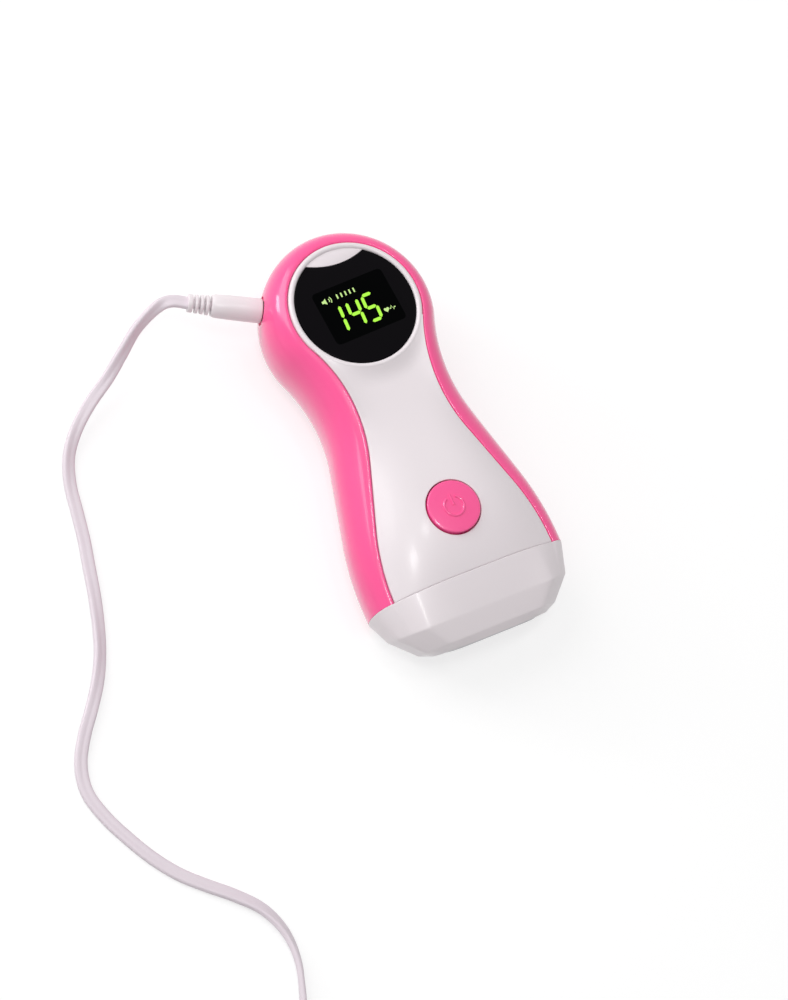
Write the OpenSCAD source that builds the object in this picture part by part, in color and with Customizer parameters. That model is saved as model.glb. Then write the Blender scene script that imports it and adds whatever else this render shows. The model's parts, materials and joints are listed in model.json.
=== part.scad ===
// Handheld fetal doppler monitor, lying on its back with its audio lead beside it.
// +X is to the right, +Y runs towards the display head and +Z comes out of the display.
// The origin is the middle of the body's footprint. A "drop" is a distance from the
// centre of the round lens towards the probe, measured along -Y.

/* [Body] */
// Radius of the round head, seen from the front
head_radius = 26.5; // [26.2:0.1:27]
// Half width of the neck at its narrowest
neck_half = 21.3; // [21.2:0.1:21.8]
// Half width of the body where the probe cap begins
base_half = 31.8; // [31.2:0.1:32.4]
// Drop of the narrowest place of the neck
neck_drop = 27; // [26.5:0.5:28]
// Drop of the parting line between body and probe cap
parting_drop = 86.3; // [86:0.1:86.8]
// Drop of the probe face
probe_drop = 105; // [104.5:0.1:105.5]
// Height of the lens above the back
lens_height = 30.5; // [30:0.1:31]
// Thickness of the moulded walls
wall = 2; // [1.8:0.1:2.2]

/* [Front cover] */
// Outer radius of the raised ring round the lens
ring_radius = 20.5; // [20.3:0.1:20.8]
// Radius of the black lens
lens_radius = 18.45; // [18.3:0.05:18.5]
// Half width of the white cover at the neck
cover_neck_half = 13.6; // [13:0.1:14]
// Half width of the white cover at the probe cap
cover_base_half = 26.5; // [26:0.1:27]
// Drop of the narrowest place of the white cover
cover_neck_drop = 30; // [29:0.5:31]
// How far the cover dips behind the lens at the neck
neck_dip = 1.4; // [1:0.1:1.8]
// How far the cover rises before the lens at the power button
base_rise = 0.4; // [0.2:0.1:0.6]
// How far the cover has fallen behind the lens at the parting line
parting_fall = 2.8; // [2.4:0.1:3.2]

/* [Controls] */
// Radius of the power button
button_radius = 8; // [7.8:0.1:8.4]
// Drop of the power button
button_drop = 67.6; // [66:0.2:69]
// Travel of the power button
button_travel = 0.8; // [0.5:0.1:1]
// Length of the volume rocker
rocker_length = 14; // [12:0.5:15]
// Height of the volume rocker
rocker_height = 5; // [4.5:0.1:5.2]

/* [Audio lead] */
// Direction of the headphone socket, seen from above the lens
jack_angle = 154; // [152:1:156]
// Height of the headphone socket above the back
jack_height = 19.2; // [19:0.1:19.4]
// Width of the flat twin lead
cord_width = 3.8; // [3.6:0.1:3.8]
// Thickness of the flat twin lead
cord_thick = 1.9; // [1.8:0.1:1.9]
// Turns in the stored coil of the lead
coil_turns = 6.25; // [4.25:1:6.25]

/* [Power] */
// Diameter of each battery cell
cell_diameter = 10.5; // [10:0.1:10.5]
// Length of each battery cell without its nub
cell_length = 43.7; // [43:0.1:44]

/* [Hidden] */
$fn = 48;
eps = 0.01;
fit_gap = 0.12;
// How far a cutter passes the face that it opens
beyond = 1;

// Station counts of the lofted shells
head_steps = 12;
flank_steps = 22;
all_steps = head_steps + flank_steps;
upper_steps = 5;
lower_steps = 4;
cover_columns = 7;

head_y = (probe_drop - head_radius) / 2;
function y_of(drop) = head_y - drop;

// An outline holds [head radius, neck half width, neck drop, flare angle,
// drop where the base curves back, half width at the parting line].
outer_line = [head_radius, neck_half, neck_drop, 15, 61.5, base_half];
cover_line = [ring_radius, cover_neck_half, cover_neck_drop, 19, 65, cover_base_half];

function inset(line, t) = [line[0] - t, line[1] - t, line[2], line[3], line[4], line[5] - t];

// Radius of the hollow neck curve that meets the head circle without a corner
function neck_radius(line) =
    (line[1] * line[1] + line[2] * line[2] - line[0] * line[0]) / (2 * (line[0] - line[1]));
function join_angle(line) = atan2(line[2], line[1] + neck_radius(line));

// Half width below the head: hollow arc, straight flare, then an arc that ends parallel
function half_width(line, drop) =
    let (hollow = neck_radius(line), flare = line[3],
         flare_drop = line[2] + hollow * sin(flare),
         flare_x = line[1] + hollow * (1 - cos(flare)),
         base_x = flare_x + (line[4] - flare_drop) * tan(flare),
         base_r = (line[5] - base_x) / (1 - cos(flare)),
         end_drop = line[4] + base_r * sin(flare))
    drop < flare_drop ? line[1] + hollow - sqrt(hollow * hollow - pow(drop - line[2], 2))
    : drop < line[4] ? flare_x + (drop - flare_drop) * tan(flare)
    : base_x + sqrt(base_r * base_r - pow(end_drop - min(drop, end_drop), 2))
      - base_r * cos(flare);

// Station k of the right side, from the crown of the head down to the parting line
function outline_point(line, k) =
    let (join = join_angle(line), first = line[0] * sin(join))
    k <= head_steps
    ? let (a = 90 - (90 + join) * k / head_steps) [line[0] * cos(a), head_y + line[0] * sin(a)]
    : let (drop = first + (parting_drop - first) * (k - head_steps) / flank_steps)
      [half_width(line, drop), y_of(drop)];

// Heights above the back: the cover's edge, the body's widest line and the cover's middle
edge_start = 14;
edge_blend = 12;
edge_slope = 0.108;
function edge_height(drop) =
    lens_height - edge_slope * (drop < edge_start ? 0
        : drop < edge_start + edge_blend ? pow(drop - edge_start, 2) / (2 * edge_blend)
        : drop - edge_start - edge_blend / 2);
belt_drop = 11.3;
belt_slope = 0.055;
function belt_height(drop) = lens_height - belt_drop - belt_slope * drop;
crest_drop = 64;
crest_power = 2.2;
function middle_height(drop) = lens_height + (
    drop < cover_neck_drop ? -neck_dip
    : drop < crest_drop
    ? -neck_dip + (base_rise + neck_dip)
      * (1 - cos(180 * (drop - cover_neck_drop) / (crest_drop - cover_neck_drop))) / 2
    : base_rise - (base_rise + parting_fall)
      * pow((drop - crest_drop) / (parting_drop - crest_drop), crest_power));

// The cover's front: a crown across the width, and a fillet that climbs to the ring
crown_power = 3.2;
fillet_width = 7;
fillet_top = 0.35;
function front_height(x, drop) =
    let (side = min(1, abs(x) / half_width(cover_line, drop)),
         plain = middle_height(drop)
                 + (edge_height(drop) - middle_height(drop)) * pow(side, crown_power),
         away = (norm([x, drop]) - ring_radius) / fillet_width,
         climb = away >= 1 ? 0 : away <= 0 ? 1 : pow(1 - away, 2))
    plain + (lens_height - fillet_top - plain) * climb;

// ---------- helpers ----------

function quad(a, b, c, d) = [[a, b, c], [a, c, d]];
function flatten(lists) = [for (list = lists) each list];
function mirrored(p, side) = [p[0] * side, p[1], p[2]];

// A closed solid through rings of equally many points, an even number. Each end is capped
// with a strip between the ring's first half and its second half, which runs back.
module ring_loft(rings) {
    count = len(rings[0]);
    last = len(rings) - 1;
    polyhedron(
        flatten(rings),
        concat(
            flatten([for (i = [0:count / 2 - 2])
                quad(i, i + 1, count - 2 - i, count - 1 - i)]),
            flatten([for (i = [0:count / 2 - 2]) let (f = last * count)
                quad(f + i, f + count - 1 - i, f + count - 2 - i, f + i + 1)]),
            flatten([for (r = [0:last - 1], i = [0:count - 1])
                let (n = (i + 1) % count)
                quad(r * count + i, (r + 1) * count + i, (r + 1) * count + n, r * count + n)])));
}

// Rings of an oval tube along points; roll 0 lays the wide axis level
function direction(points, i) =
    let (step = points[min(i + 1, len(points) - 1)] - points[max(i - 1, 0)]) step / norm(step);
function oval_rings(points, rolls, wide, thin, sides) =
    [for (i = [0:len(points) - 1])
        let (t = direction(points, i), s = cross(t, [0, 0, 1]) / norm(cross(t, [0, 0, 1])),
             u = cross(s, t), w = s * cos(rolls[i]) + u * sin(rolls[i]),
             h = u * cos(rolls[i]) - s * sin(rolls[i]))
        [for (n = [0:sides - 1]) let (a = -360 * (n + 0.5) / sides)
            points[i] + w * wide / 2 * cos(a) + h * thin / 2 * sin(a)]];
module wire(points, diameter) {
    ring_loft(oval_rings(points, [for (p = points) 0], diameter, diameter, 6));
}

module rod(x, y, low, high, r) {
    translate([x, y, low]) cylinder(h = high - low, r = r);
}
module box(low, high) {
    translate(low) cube(high - low);
}
module stadium(length, width, height) {
    linear_extrude(height) {
        square([length - width, width], center = true);
        for (s = [-1, 1]) translate([s * (length - width) / 2, 0]) circle(d = width);
    }
}
// Frame of the headphone socket: origin in the head's middle, +Z out along the plug
module at_jack() {
    translate([0, head_y, jack_height]) rotate([0, 0, jack_angle]) rotate([0, 90, 0]) children();
}
// Frame of the volume rocker: origin in the head's middle, +X out through the right side
rocker_angle = 4;
rocker_centre = 17.7;
module at_rocker() {
    translate([0, head_y, rocker_centre]) rotate([0, 0, rocker_angle]) children();
}
// Frame of the probe: origin in the middle of its face, +Z out of the face
face_tilt = 15;
face_length = 15;
face_top = 20.5;
module at_probe() {
    translate([0, y_of(probe_drop - face_length / 2 * sin(face_tilt)),
               face_top - face_length / 2 * cos(face_tilt)])
        rotate([90 + face_tilt, 0, 0]) children();
}

// ---------- rear shell ----------

floor_inset = 8;
rim_depth = 2.2;

// The wall's run at station k, from the rim over the widest line down to the flat back
function wall_run(k, skin) =
    let (top = outline_point(cover_line, k),
         belt = outline_point(inset(outer_line, skin), k),
         foot = outline_point(inset(outer_line, floor_inset + skin / 2), k),
         top_z = edge_height(head_y - top[1]) - (skin > 0 ? rim_depth : 0),
         belt_z = belt_height(head_y - belt[1]))
    concat(
        [for (j = [0:upper_steps]) let (a = 90 * j / upper_steps, p = top + (belt - top) * sin(a))
            [p[0], p[1], belt_z + (top_z - belt_z) * cos(a)]],
        [for (j = [1:lower_steps]) let (a = 90 * j / lower_steps, p = foot + (belt - foot) * cos(a))
            [p[0], p[1], belt_z + (skin - belt_z) * sin(a)]]);

module shell_wall() {
    levels = upper_steps + lower_steps + 1;
    ring = 2 * levels;
    stations = [for (s = [-all_steps:all_steps])
        let (outer = wall_run(abs(s), 0), inner = wall_run(abs(s), wall), side = s < 0 ? -1 : 1)
        [for (j = [0:levels - 1]) mirrored(outer[j], side),
         for (j = [levels - 1:-1:0]) mirrored(inner[j], side)]];
    last = len(stations) - 1;
    crown = last / 2;
    out = levels - 1;
    end = last * ring;
    polyhedron(
        flatten(stations),
        concat(
            flatten([for (s = [0:last - 1], j = [0:ring - 1]) if (j != out)
                let (n = (j + 1) % ring)
                quad(s * ring + j, s * ring + n, (s + 1) * ring + n, (s + 1) * ring + j)]),
            // The floor's two faces are strips that run from side to side
            flatten([for (s = [0:crown - 2])
                quad((last - s) * ring + out, (last - s - 1) * ring + out,
                     (s + 1) * ring + out, s * ring + out)]),
            flatten([for (s = [0:crown - 2])
                quad(s * ring + levels, (s + 1) * ring + levels,
                     (last - s - 1) * ring + levels, (last - s) * ring + levels)]),
            [[for (s = [crown + 1:-1:crown - 1]) s * ring + out],
             [for (s = [crown - 1:crown + 1]) s * ring + levels]],
            // The open end: the right wall, the left wall and the floor between them
            flatten([for (j = [0:out - 1])
                quad(end + j, end + j + 1, end + ring - 2 - j, end + ring - 1 - j)]),
            flatten([for (j = [0:out - 1]) quad(j + 1, j, ring - 1 - j, ring - 2 - j)]),
            quad(end + out, out, levels, end + levels)));
}

// Fastening places: two housing screws at the neck, two at the base, four for the board
neck_boss = [9, 28.2];
base_boss = [19.5, 79];
boss_radius = 3.7;
boss_top = 16.9;
screw_hole = 1.5;
screw_head_radius = 2.9;
screw_seat = 7;
housing_bosses = [for (s = [-1, 1], b = [neck_boss, base_boss]) [s * b[0], y_of(b[1])]];
board_low = 15.1;
board_thick = 1.6;
board_top = board_low + board_thick;
post_radius = 2.3;
post_hole = 0.9;
post_hole_low = 6;
board_posts = [[8, head_y + 14.6], [-8, head_y - 15.2], [16.2, y_of(44)], [-16.2, y_of(44)]];

// Battery bay and its door
door_half = 12.4;
hinge_drop = 33.2;
door_end_drop = 83.6;
door_gap = 0.2;
door_thick = 1.8;
hinge_radius = 0.9;
hinge_height = 1.1;
hinge_pin_radius = 0.5;
hinge_pin_reach = 0.9;
hinge_clearance = 0.35;
hinge_pin_play = 0.1;
hinge_y = y_of(hinge_drop);
door_end_y = y_of(door_end_drop);

plug_radius = 3.95;
socket_radius = 4.4;
socket_floor = 25.7;
socket_well = 4;
collar_radius = 3;
collar_low = 20;
collar_cut = 8;

// The slot for the volume rocker, and the lugs beside it that hold the rocker's pin
slot_start = 21.2;
slot_depth = 8;
slot_end_gap = 0.5;
slot_side_gap = 0.3;
lug_size = [4, 4.4, 1.4];
lug_gap = 0.7;
pin_hole_reach = 6;

// A bar along the door's hinge line, of the given half length
module hinge_bar(half, r) {
    translate([-half, hinge_y, hinge_height]) rotate([0, 90, 0]) cylinder(h = 2 * half, r = r);
}

module rear_shell() {
    color("hotpink") difference() {
        union() {
            shell_wall();
            for (b = housing_bosses) rod(b[0], b[1], 1, boss_top, boss_radius);
            for (b = board_posts) rod(b[0], b[1], 1, board_low, post_radius);
            at_rocker() for (s = [-1, 1])
                translate([slot_start, 0, s * (rocker_height + 2 * lug_gap + lug_size[2]) / 2])
                    translate([0, -lug_size[1] / 2, -lug_size[2] / 2]) cube(lug_size);
        }
        for (b = housing_bosses) {
            rod(b[0], b[1], -beyond, boss_top + beyond, screw_hole);
            rod(b[0], b[1], -beyond, screw_seat, screw_head_radius);
        }
        for (b = board_posts) rod(b[0], b[1], post_hole_low, board_low + beyond, post_hole);
        box([-door_half - door_gap, door_end_y - door_gap, -beyond],
            [door_half + door_gap, hinge_y + hinge_radius + hinge_clearance, wall + beyond]);
        hinge_bar(door_half + hinge_pin_reach + door_gap, hinge_pin_radius + hinge_pin_play);
        at_jack() {
            translate([0, 0, socket_floor]) cylinder(h = socket_well, r = socket_radius);
            translate([0, 0, collar_low]) cylinder(h = collar_cut, r = collar_radius + 0.1);
        }
        at_rocker() {
            translate([slot_start, -rocker_length / 2 - slot_end_gap, -rocker_height / 2 - slot_side_gap])
                cube([slot_depth, rocker_length + 2 * slot_end_gap, rocker_height + 2 * slot_side_gap]);
            translate([rocker_pivot, 0, -pin_hole_reach])
                cylinder(h = 2 * pin_hole_reach, r = pivot_radius + 0.02);
        }
    }
}

// ---------- front cover ----------

ring_crest = 0.5;
lens_pocket = lens_radius + 0.15;
bead_radius = 0.92;
crescent_radius = 24.2;
crescent_drop = -38.2;
lens_thick = 1.6;
ledge_radius = 16.9;
ledge_low = 3.4;
crescent_low = 3.2;
crescent_sink = 0.15;
cover_post_radius = 2.9;
cover_post_hole = 0.95;
cover_hole_depth = 4.5;
button_gap = 0.35;

// The plate starts on an arc inside the ring's wall, and its rows straighten towards the cap
plate_arc = ring_radius - 0.55;
function arc_share(c) =
    let (join = join_angle(cover_line), low = plate_arc * sin(join),
         x = plate_arc * cos(join) * c / cover_columns)
    (sqrt(plate_arc * plate_arc - x * x) - low) / (plate_arc - low);
function plate_row(i) =
    let (side = i == 0 ? [plate_arc * cos(join_angle(cover_line)),
                          head_y - plate_arc * sin(join_angle(cover_line))]
                       : outline_point(cover_line, head_steps + i) - [fit_gap, 0],
         side_drop = head_y - side[1],
         middle_drop = plate_arc + (parting_drop - plate_arc) * i / flank_steps)
    [for (c = [-cover_columns:cover_columns])
        let (x = side[0] * c / cover_columns,
             drop = side_drop + (middle_drop - side_drop) * arc_share(c))
        [x, y_of(drop), front_height(x, drop)]];

module cover_plate() {
    // Each row becomes a closed ring: its underside from left to right, then its top back
    ring_loft([for (i = [0:flank_steps]) let (row = plate_row(i))
        concat([for (p = row) p - [0, 0, wall]],
               [for (c = [2 * cover_columns:-1:0]) row[c]])]);
}

// The ring round the lens: a bead on top, and a ledge inside that carries the lens
module lens_ring() {
    outer = ring_radius - fit_gap;
    crest = outer - bead_radius;
    translate([0, head_y, lens_height]) rotate_extrude($fn = 96)
        polygon(concat(
            [[ledge_radius, -ledge_low], [outer, -ledge_low]],
            [for (a = [0:15:180]) [crest + bead_radius * cos(a),
                                   ring_crest - bead_radius + bead_radius * sin(a)]],
            [[lens_pocket, -lens_thick], [ledge_radius, -lens_thick]]));
}

module front_cover() {
    color("whitesmoke") difference() {
        union() {
            cover_plate();
            lens_ring();
            translate([0, head_y, lens_height - crescent_low])
                linear_extrude(crescent_low - crescent_sink)
                intersection() {
                    circle(lens_pocket + 0.2, $fn = 96);
                    translate([0, -crescent_drop]) circle(crescent_radius, $fn = 128);
                }
            for (b = housing_bosses)
                rod(b[0], b[1], boss_top + 0.1, front_height(b[0], head_y - b[1]) - wall / 2,
                    cover_post_radius);
        }
        rod(0, y_of(button_drop), boss_top, lens_height + 2 * beyond, button_radius + button_gap);
        for (b = housing_bosses)
            rod(b[0], b[1], boss_top - beyond, lens_height - cover_hole_depth, cover_post_hole);
    }
}

// ---------- lens and display ----------

module display_lens() {
    color("black") translate([0, head_y, lens_height - lens_thick + 0.02])
        linear_extrude(lens_thick - 0.02) difference() {
            circle(lens_radius, $fn = 96);
            translate([0, -crescent_drop]) circle(crescent_radius + 0.12, $fn = 128);
        }
}

display_size = [24.4, 18.8];
display_y = head_y - 0.7;
display_top = lens_height - lens_thick - 0.2;
panel_thick = 2.2;
backlight_size = [23.6, 13.6];
backlight_thick = 3.3;
frame_wall = 1.3;
frame_low = 22.4;
frame_top = lens_height - 3.5;
strip_width = 2.2;
strip_reach = 8.2;
module display_box(size, low, high) {
    translate([0, display_y, low]) linear_extrude(high - low) square(size, center = true);
}
module display_panel() {
    color("darkslategray") display_box(display_size, display_top - panel_thick, display_top);
}
module display_backlight() {
    backlight_top = display_top - panel_thick - 0.1;
    color("ivory") display_box(backlight_size, backlight_top - backlight_thick, backlight_top);
}
// The frame stands on three legs; the headphone socket takes the fourth corner
module display_frame() {
    outer = display_size + [2 * frame_wall, 2 * frame_wall];
    color("gray") {
        difference() {
            display_box(outer, frame_low, frame_top);
            display_box(display_size + [0.2, 0.2], frame_low - 1, frame_top + 1);
        }
        for (corner = [[1, 1], [1, -1], [-1, -1]])
            translate([corner[0] * (outer[0] - frame_wall) / 2,
                       display_y + corner[1] * (outer[1] - frame_wall) / 2, 0])
                box([-frame_wall / 2 + 0.05, -frame_wall / 2 + 0.05, board_top],
                    [frame_wall / 2 - 0.05, frame_wall / 2 - 0.05, frame_low + 0.5]);
    }
}
module contact_strips() {
    color("dimgray") for (s = [-1, 1])
        translate([0, display_y + s * strip_reach, 0])
            box([-7, -strip_width / 2, board_top], [11, strip_width / 2, display_top - panel_thick]);
}

// ---------- main board ----------

// A disc in the head and a plate in the base, joined by a neck. The places of its parts are
// [x, drop], and their sizes run along X, Y and Z.
board_disc = 19.2;
board_neck = [9.8, 24];
board_neck_end = 40;
board_base = [37.6, 34];
board_base_end = 73;
board_hole = 1.15;
module main_board() {
    color("seagreen") difference() {
        translate([0, 0, board_low]) linear_extrude(board_thick) {
            translate([0, head_y]) circle(board_disc, $fn = 96);
            translate([-board_neck[0] / 2, y_of(board_neck_end)]) square(board_neck);
            translate([-board_base[0] / 2, y_of(board_base_end)]) square(board_base);
        }
        for (b = board_posts) rod(b[0], b[1], board_low - beyond, board_top + beyond, board_hole);
    }
}
module on_board(place, size) {
    translate([place[0] - size[0] / 2, y_of(place[1]) - size[1] / 2, board_top]) cube(size);
}
main_chip_place = [-8, 53.5];
main_chip_size = [7, 7, 1.1];
amplifier_place = [7.5, 49.75];
amplifier_size = [5, 4.5, 1.4];
module main_chip() {
    color("black") on_board(main_chip_place, main_chip_size);
}
module amplifier_chip() {
    color("black") on_board(amplifier_place, amplifier_size);
}
crystal_place = [11, 60];
crystal_size = [10.8, 4.4, 3.4];
module crystal_can() {
    color("silver") translate([crystal_place[0], y_of(crystal_place[1]), board_top])
        stadium(crystal_size[0], crystal_size[1], crystal_size[2]);
}
capacitor_places = [[-14.5, 62], [-14.5, 69.5], [14.5, 68.5]];
capacitor_radius = 2.6;
capacitor_height = 6.2;
module capacitors() {
    color("midnightblue") for (c = capacitor_places)
        rod(c[0], y_of(c[1]), board_top, board_top + capacitor_height, capacitor_radius);
}
resistor_size = [1.6, 0.9, 0.6];
resistor_start = [-3.2, 40.05];
resistor_pitch = [3.2, 2.4];
module chip_resistors() {
    color("darkgray") for (row = [0:2], column = [0:3])
        on_board([resistor_start[0] + resistor_pitch[0] * column,
                  resistor_start[1] + resistor_pitch[1] * row], resistor_size);
}
board_screw_head = 1.9;
board_screw_head_height = 1.3;
board_screw_length = 6.5;
board_screw_radius = 0.88;
module board_screws() {
    color("silver") for (b = board_posts) {
        rod(b[0], b[1], board_top, board_top + board_screw_head_height, board_screw_head);
        rod(b[0], b[1], board_top - board_screw_length, board_top + 0.1, board_screw_radius);
    }
}
housing_screw_head = 2.6;
housing_screw_head_height = 1.8;
housing_screw_length = 15;
housing_screw_radius = 0.93;
module housing_screws() {
    color("silver") for (b = housing_bosses) {
        rod(b[0], b[1], screw_seat - housing_screw_head_height, screw_seat, housing_screw_head);
        rod(b[0], b[1], screw_seat - 0.1, screw_seat + housing_screw_length, housing_screw_radius);
    }
}

// ---------- power button ----------

button_y = y_of(button_drop);
button_rim = lens_height + 0.75;
button_dome = 0.4;
button_ease = 0.4;
flange_top = lens_height - 3.3;
flange_radius = button_radius + 1.3;
flange_thick = 0.9;
stem_radius = 1.9;
switch_top = board_top + 3.6;
switch_half = 3;
plunger_radius = 1.7;
plunger_rise = 0.9;
plunger_well = 1.6;

// A dome of the given rise over the button's face, as an arc from the rim to the axis
function dome_arc(r, rise, steps) =
    let (sphere = (r * r + rise * rise) / (2 * rise), reach = asin(r / sphere))
    [for (i = [0:steps]) let (a = reach * (1 - i / steps))
        [sphere * sin(a), rise - sphere * (1 - cos(a))]];

module power_button() {
    color("deeppink") translate([0, button_y, 0]) {
        rotate_extrude($fn = 96) polygon(concat(
            [[0, flange_top - flange_thick], [flange_radius, flange_top - flange_thick],
             [flange_radius, flange_top], [button_radius, flange_top],
             [button_radius, button_rim - button_ease]],
            [for (p = dome_arc(button_radius - button_ease, button_dome, 6))
                [p[0], p[1] + button_rim]]));
        rod(0, 0, switch_top + plunger_rise, flange_top - flange_thick / 2, stem_radius);
        standby_symbol();
    }
}
symbol_radius = 3;
symbol_line = 0.6;
symbol_rise = 0.16;
symbol_gap = [2.6, 5];
symbol_bar_low = 0.3;
symbol_bar_length = 3.4;
module standby_symbol() {
    translate([0, 0, button_rim]) linear_extrude(button_dome + symbol_rise) {
        difference() {
            circle(symbol_radius + symbol_line / 2);
            circle(symbol_radius - symbol_line / 2);
            translate([-symbol_gap[0] / 2, 0]) square(symbol_gap);
        }
        translate([-symbol_line / 2, symbol_bar_low]) square([symbol_line, symbol_bar_length]);
    }
}
module power_switch() {
    color("dimgray") difference() {
        translate([0, button_y, 0])
            box([-switch_half, -switch_half, board_top], [switch_half, switch_half, switch_top - 0.1]);
        rod(0, button_y, switch_top - plunger_well, switch_top + beyond, plunger_radius + 0.1);
    }
}
module switch_plunger() {
    color("black") rod(0, button_y, switch_top - 0.6, switch_top + plunger_rise, plunger_radius);
}

// ---------- volume rocker ----------

rocker_pivot = 23.2;
pivot_radius = 0.7;
rocker_proud = 0.35;
rocker_inner = 24.3;
rocker_boss = 1.7;
rocker_web = [1.6, 2.4];
pin_reach = 2;
module volume_rocker() {
    color("deeppink") at_rocker() difference() {
        translate([0, 0, -rocker_height / 2]) linear_extrude(rocker_height) {
            intersection() {
                difference() {
                    circle(head_radius + rocker_proud, $fn = 128);
                    circle(rocker_inner, $fn = 128);
                }
                translate([slot_start, -rocker_length / 2]) square([slot_depth, rocker_length]);
            }
            translate([rocker_pivot, 0]) circle(rocker_boss);
            translate([rocker_pivot, -rocker_web[1] / 2]) square(rocker_web);
        }
        translate([rocker_pivot, 0, -rocker_height])
            cylinder(h = 2 * rocker_height, r = pivot_radius + 0.05);
    }
}
module rocker_pin() {
    color("silver") at_rocker() translate([rocker_pivot, 0, -rocker_height / 2 - pin_reach])
        cylinder(h = rocker_height + 2 * pin_reach, r = pivot_radius);
}
side_switch_size = [5.4, 3, 2.6];
side_switch_start = 17.4;
side_switch_offset = 5.4;
module volume_switches() {
    color("dimgray") at_rocker() for (s = [-1, 1])
        translate([side_switch_start, s * side_switch_offset - side_switch_size[1] / 2,
                   board_top - rocker_centre]) cube(side_switch_size);
}

// ---------- headphone socket and plug ----------

shaft_radius = 1.75;
socket_bore = 1.82;
shaft_length = 14;
plug_face = 26.15;
jack_size = [5, 6.2, 13];
jack_start = 10.6;
jack_bore_start = 11.4;
module headphone_jack() {
    color("black") difference() {
        at_jack() {
            translate([-jack_size[0] / 2, -jack_size[1] / 2, jack_start]) cube(jack_size);
            translate([0, 0, collar_low]) cylinder(h = socket_floor - collar_low, r = collar_radius);
        }
        at_jack() translate([0, 0, jack_bore_start])
            cylinder(h = socket_floor - jack_bore_start + beyond, r = socket_bore);
    }
}

// Plug profile from its face outwards: barrel, ribbed relief, end collar
barrel_length = 13.9;
relief_length = 7.1;
relief_radius = 2.3;
groove_depth = 0.55;
groove_count = 4;
groove_pitch = 1.75;
groove_width = 0.8;
groove_start = 0.5;
// The shaft's thicker shank, which the barrel is moulded round
shank_radius = 2.2;
shank_low = 0.1;
shank_high = 5;
module plug_body() {
    difference() {
        rotate_extrude($fn = 64) polygon([
            [0, 0], [plug_radius - 0.3, 0], [plug_radius, 0.3], [3.4, barrel_length - 0.5],
            [2.9, barrel_length], [relief_radius + 0.25, barrel_length],
            [relief_radius, barrel_length + relief_length], [0, barrel_length + relief_length]]);
        for (i = [0:groove_count - 1])
            translate([0, 0, barrel_length + groove_start + groove_pitch * i]) difference() {
                cylinder(h = groove_width, r = plug_radius);
                translate([0, 0, -beyond])
                    cylinder(h = groove_width + 2 * beyond, r = relief_radius - groove_depth);
            }
        translate([0, 0, -beyond]) cylinder(h = shank_low + beyond + eps, r = shaft_radius);
        translate([0, 0, shank_low]) cylinder(h = shank_high - shank_low, r = shank_radius);
    }
}
// The metal shaft: sleeve, ring and tip, parted by two insulating steps
module plug_shaft_body() {
    rotate_extrude($fn = 48) polygon([
        [0, shank_high], [shank_radius, shank_high], [shank_radius, shank_low],
        [shaft_radius, shank_low], [shaft_radius, -6.4], [1.55, -6.5], [1.55, -7.0],
        [shaft_radius, -7.1], [shaft_radius, -9.4], [1.55, -9.5], [1.55, -10],
        [shaft_radius, -10.1], [1.25, -11.2], [1.7, -12.6], [0.4, -shaft_length],
        [0, -shaft_length]]);
}
module plug_barrel() {
    color("whitesmoke") at_jack() translate([0, 0, plug_face]) plug_body();
}
module plug_shaft() {
    color("silver") at_jack() translate([0, 0, plug_face]) plug_shaft_body();
}

// ---------- audio lead ----------

// Where the lead leaves the plug, and the direction it leaves in
plug_out = [cos(jack_angle), sin(jack_angle), 0];
cord_exit = [0, head_y, jack_height] + plug_out * (plug_face + barrel_length + relief_length);

// The coil: an even spiral in on the lower layer and out again on the upper one
coil_centre = [-83.5, -178.5];
coil_start = 157;
coil_outer = 25.2;
coil_pitch = 2.9;
coil_low = 2.5;
layer_rise = 4.35;
coil_rings = 24;
function coil_radius(t) = coil_outer - coil_pitch * (coil_turns / 2 - abs(t - coil_turns / 2));
function coil_height(t) =
    let (past = t - coil_turns / 2)
    coil_low + layer_rise * (past < -0.25 ? 0 : past > 0.25 ? 1 : (1 + sin(360 * past)) / 2);
function coil_point(t) =
    let (a = coil_start + 360 * t, r = coil_radius(t))
    [coil_centre[0] + r * cos(a), coil_centre[1] + r * sin(a), coil_height(t)];
function coil_heading(a) = [-sin(a), cos(a), 0];
coil_entry = coil_point(0) - coil_heading(coil_start) * cord_width;
coil_end_angle = coil_start + 360 * coil_turns;
tail_runs = [4, 8, 12, 16];
tail_falls = [0.3, 1.2, 2.3, 2.85];
tail = [for (i = [0:len(tail_runs) - 1])
    coil_point(coil_turns) + coil_heading(coil_end_angle) * tail_runs[i] - [0, 0, tail_falls[i]]];
tail_last = tail[len(tail) - 1] + coil_heading(coil_end_angle) * cord_width;
coil_path = concat([coil_entry],
    [for (i = [0:coil_rings * coil_turns]) coil_point(i / coil_rings)], tail, [tail_last]);

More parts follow.
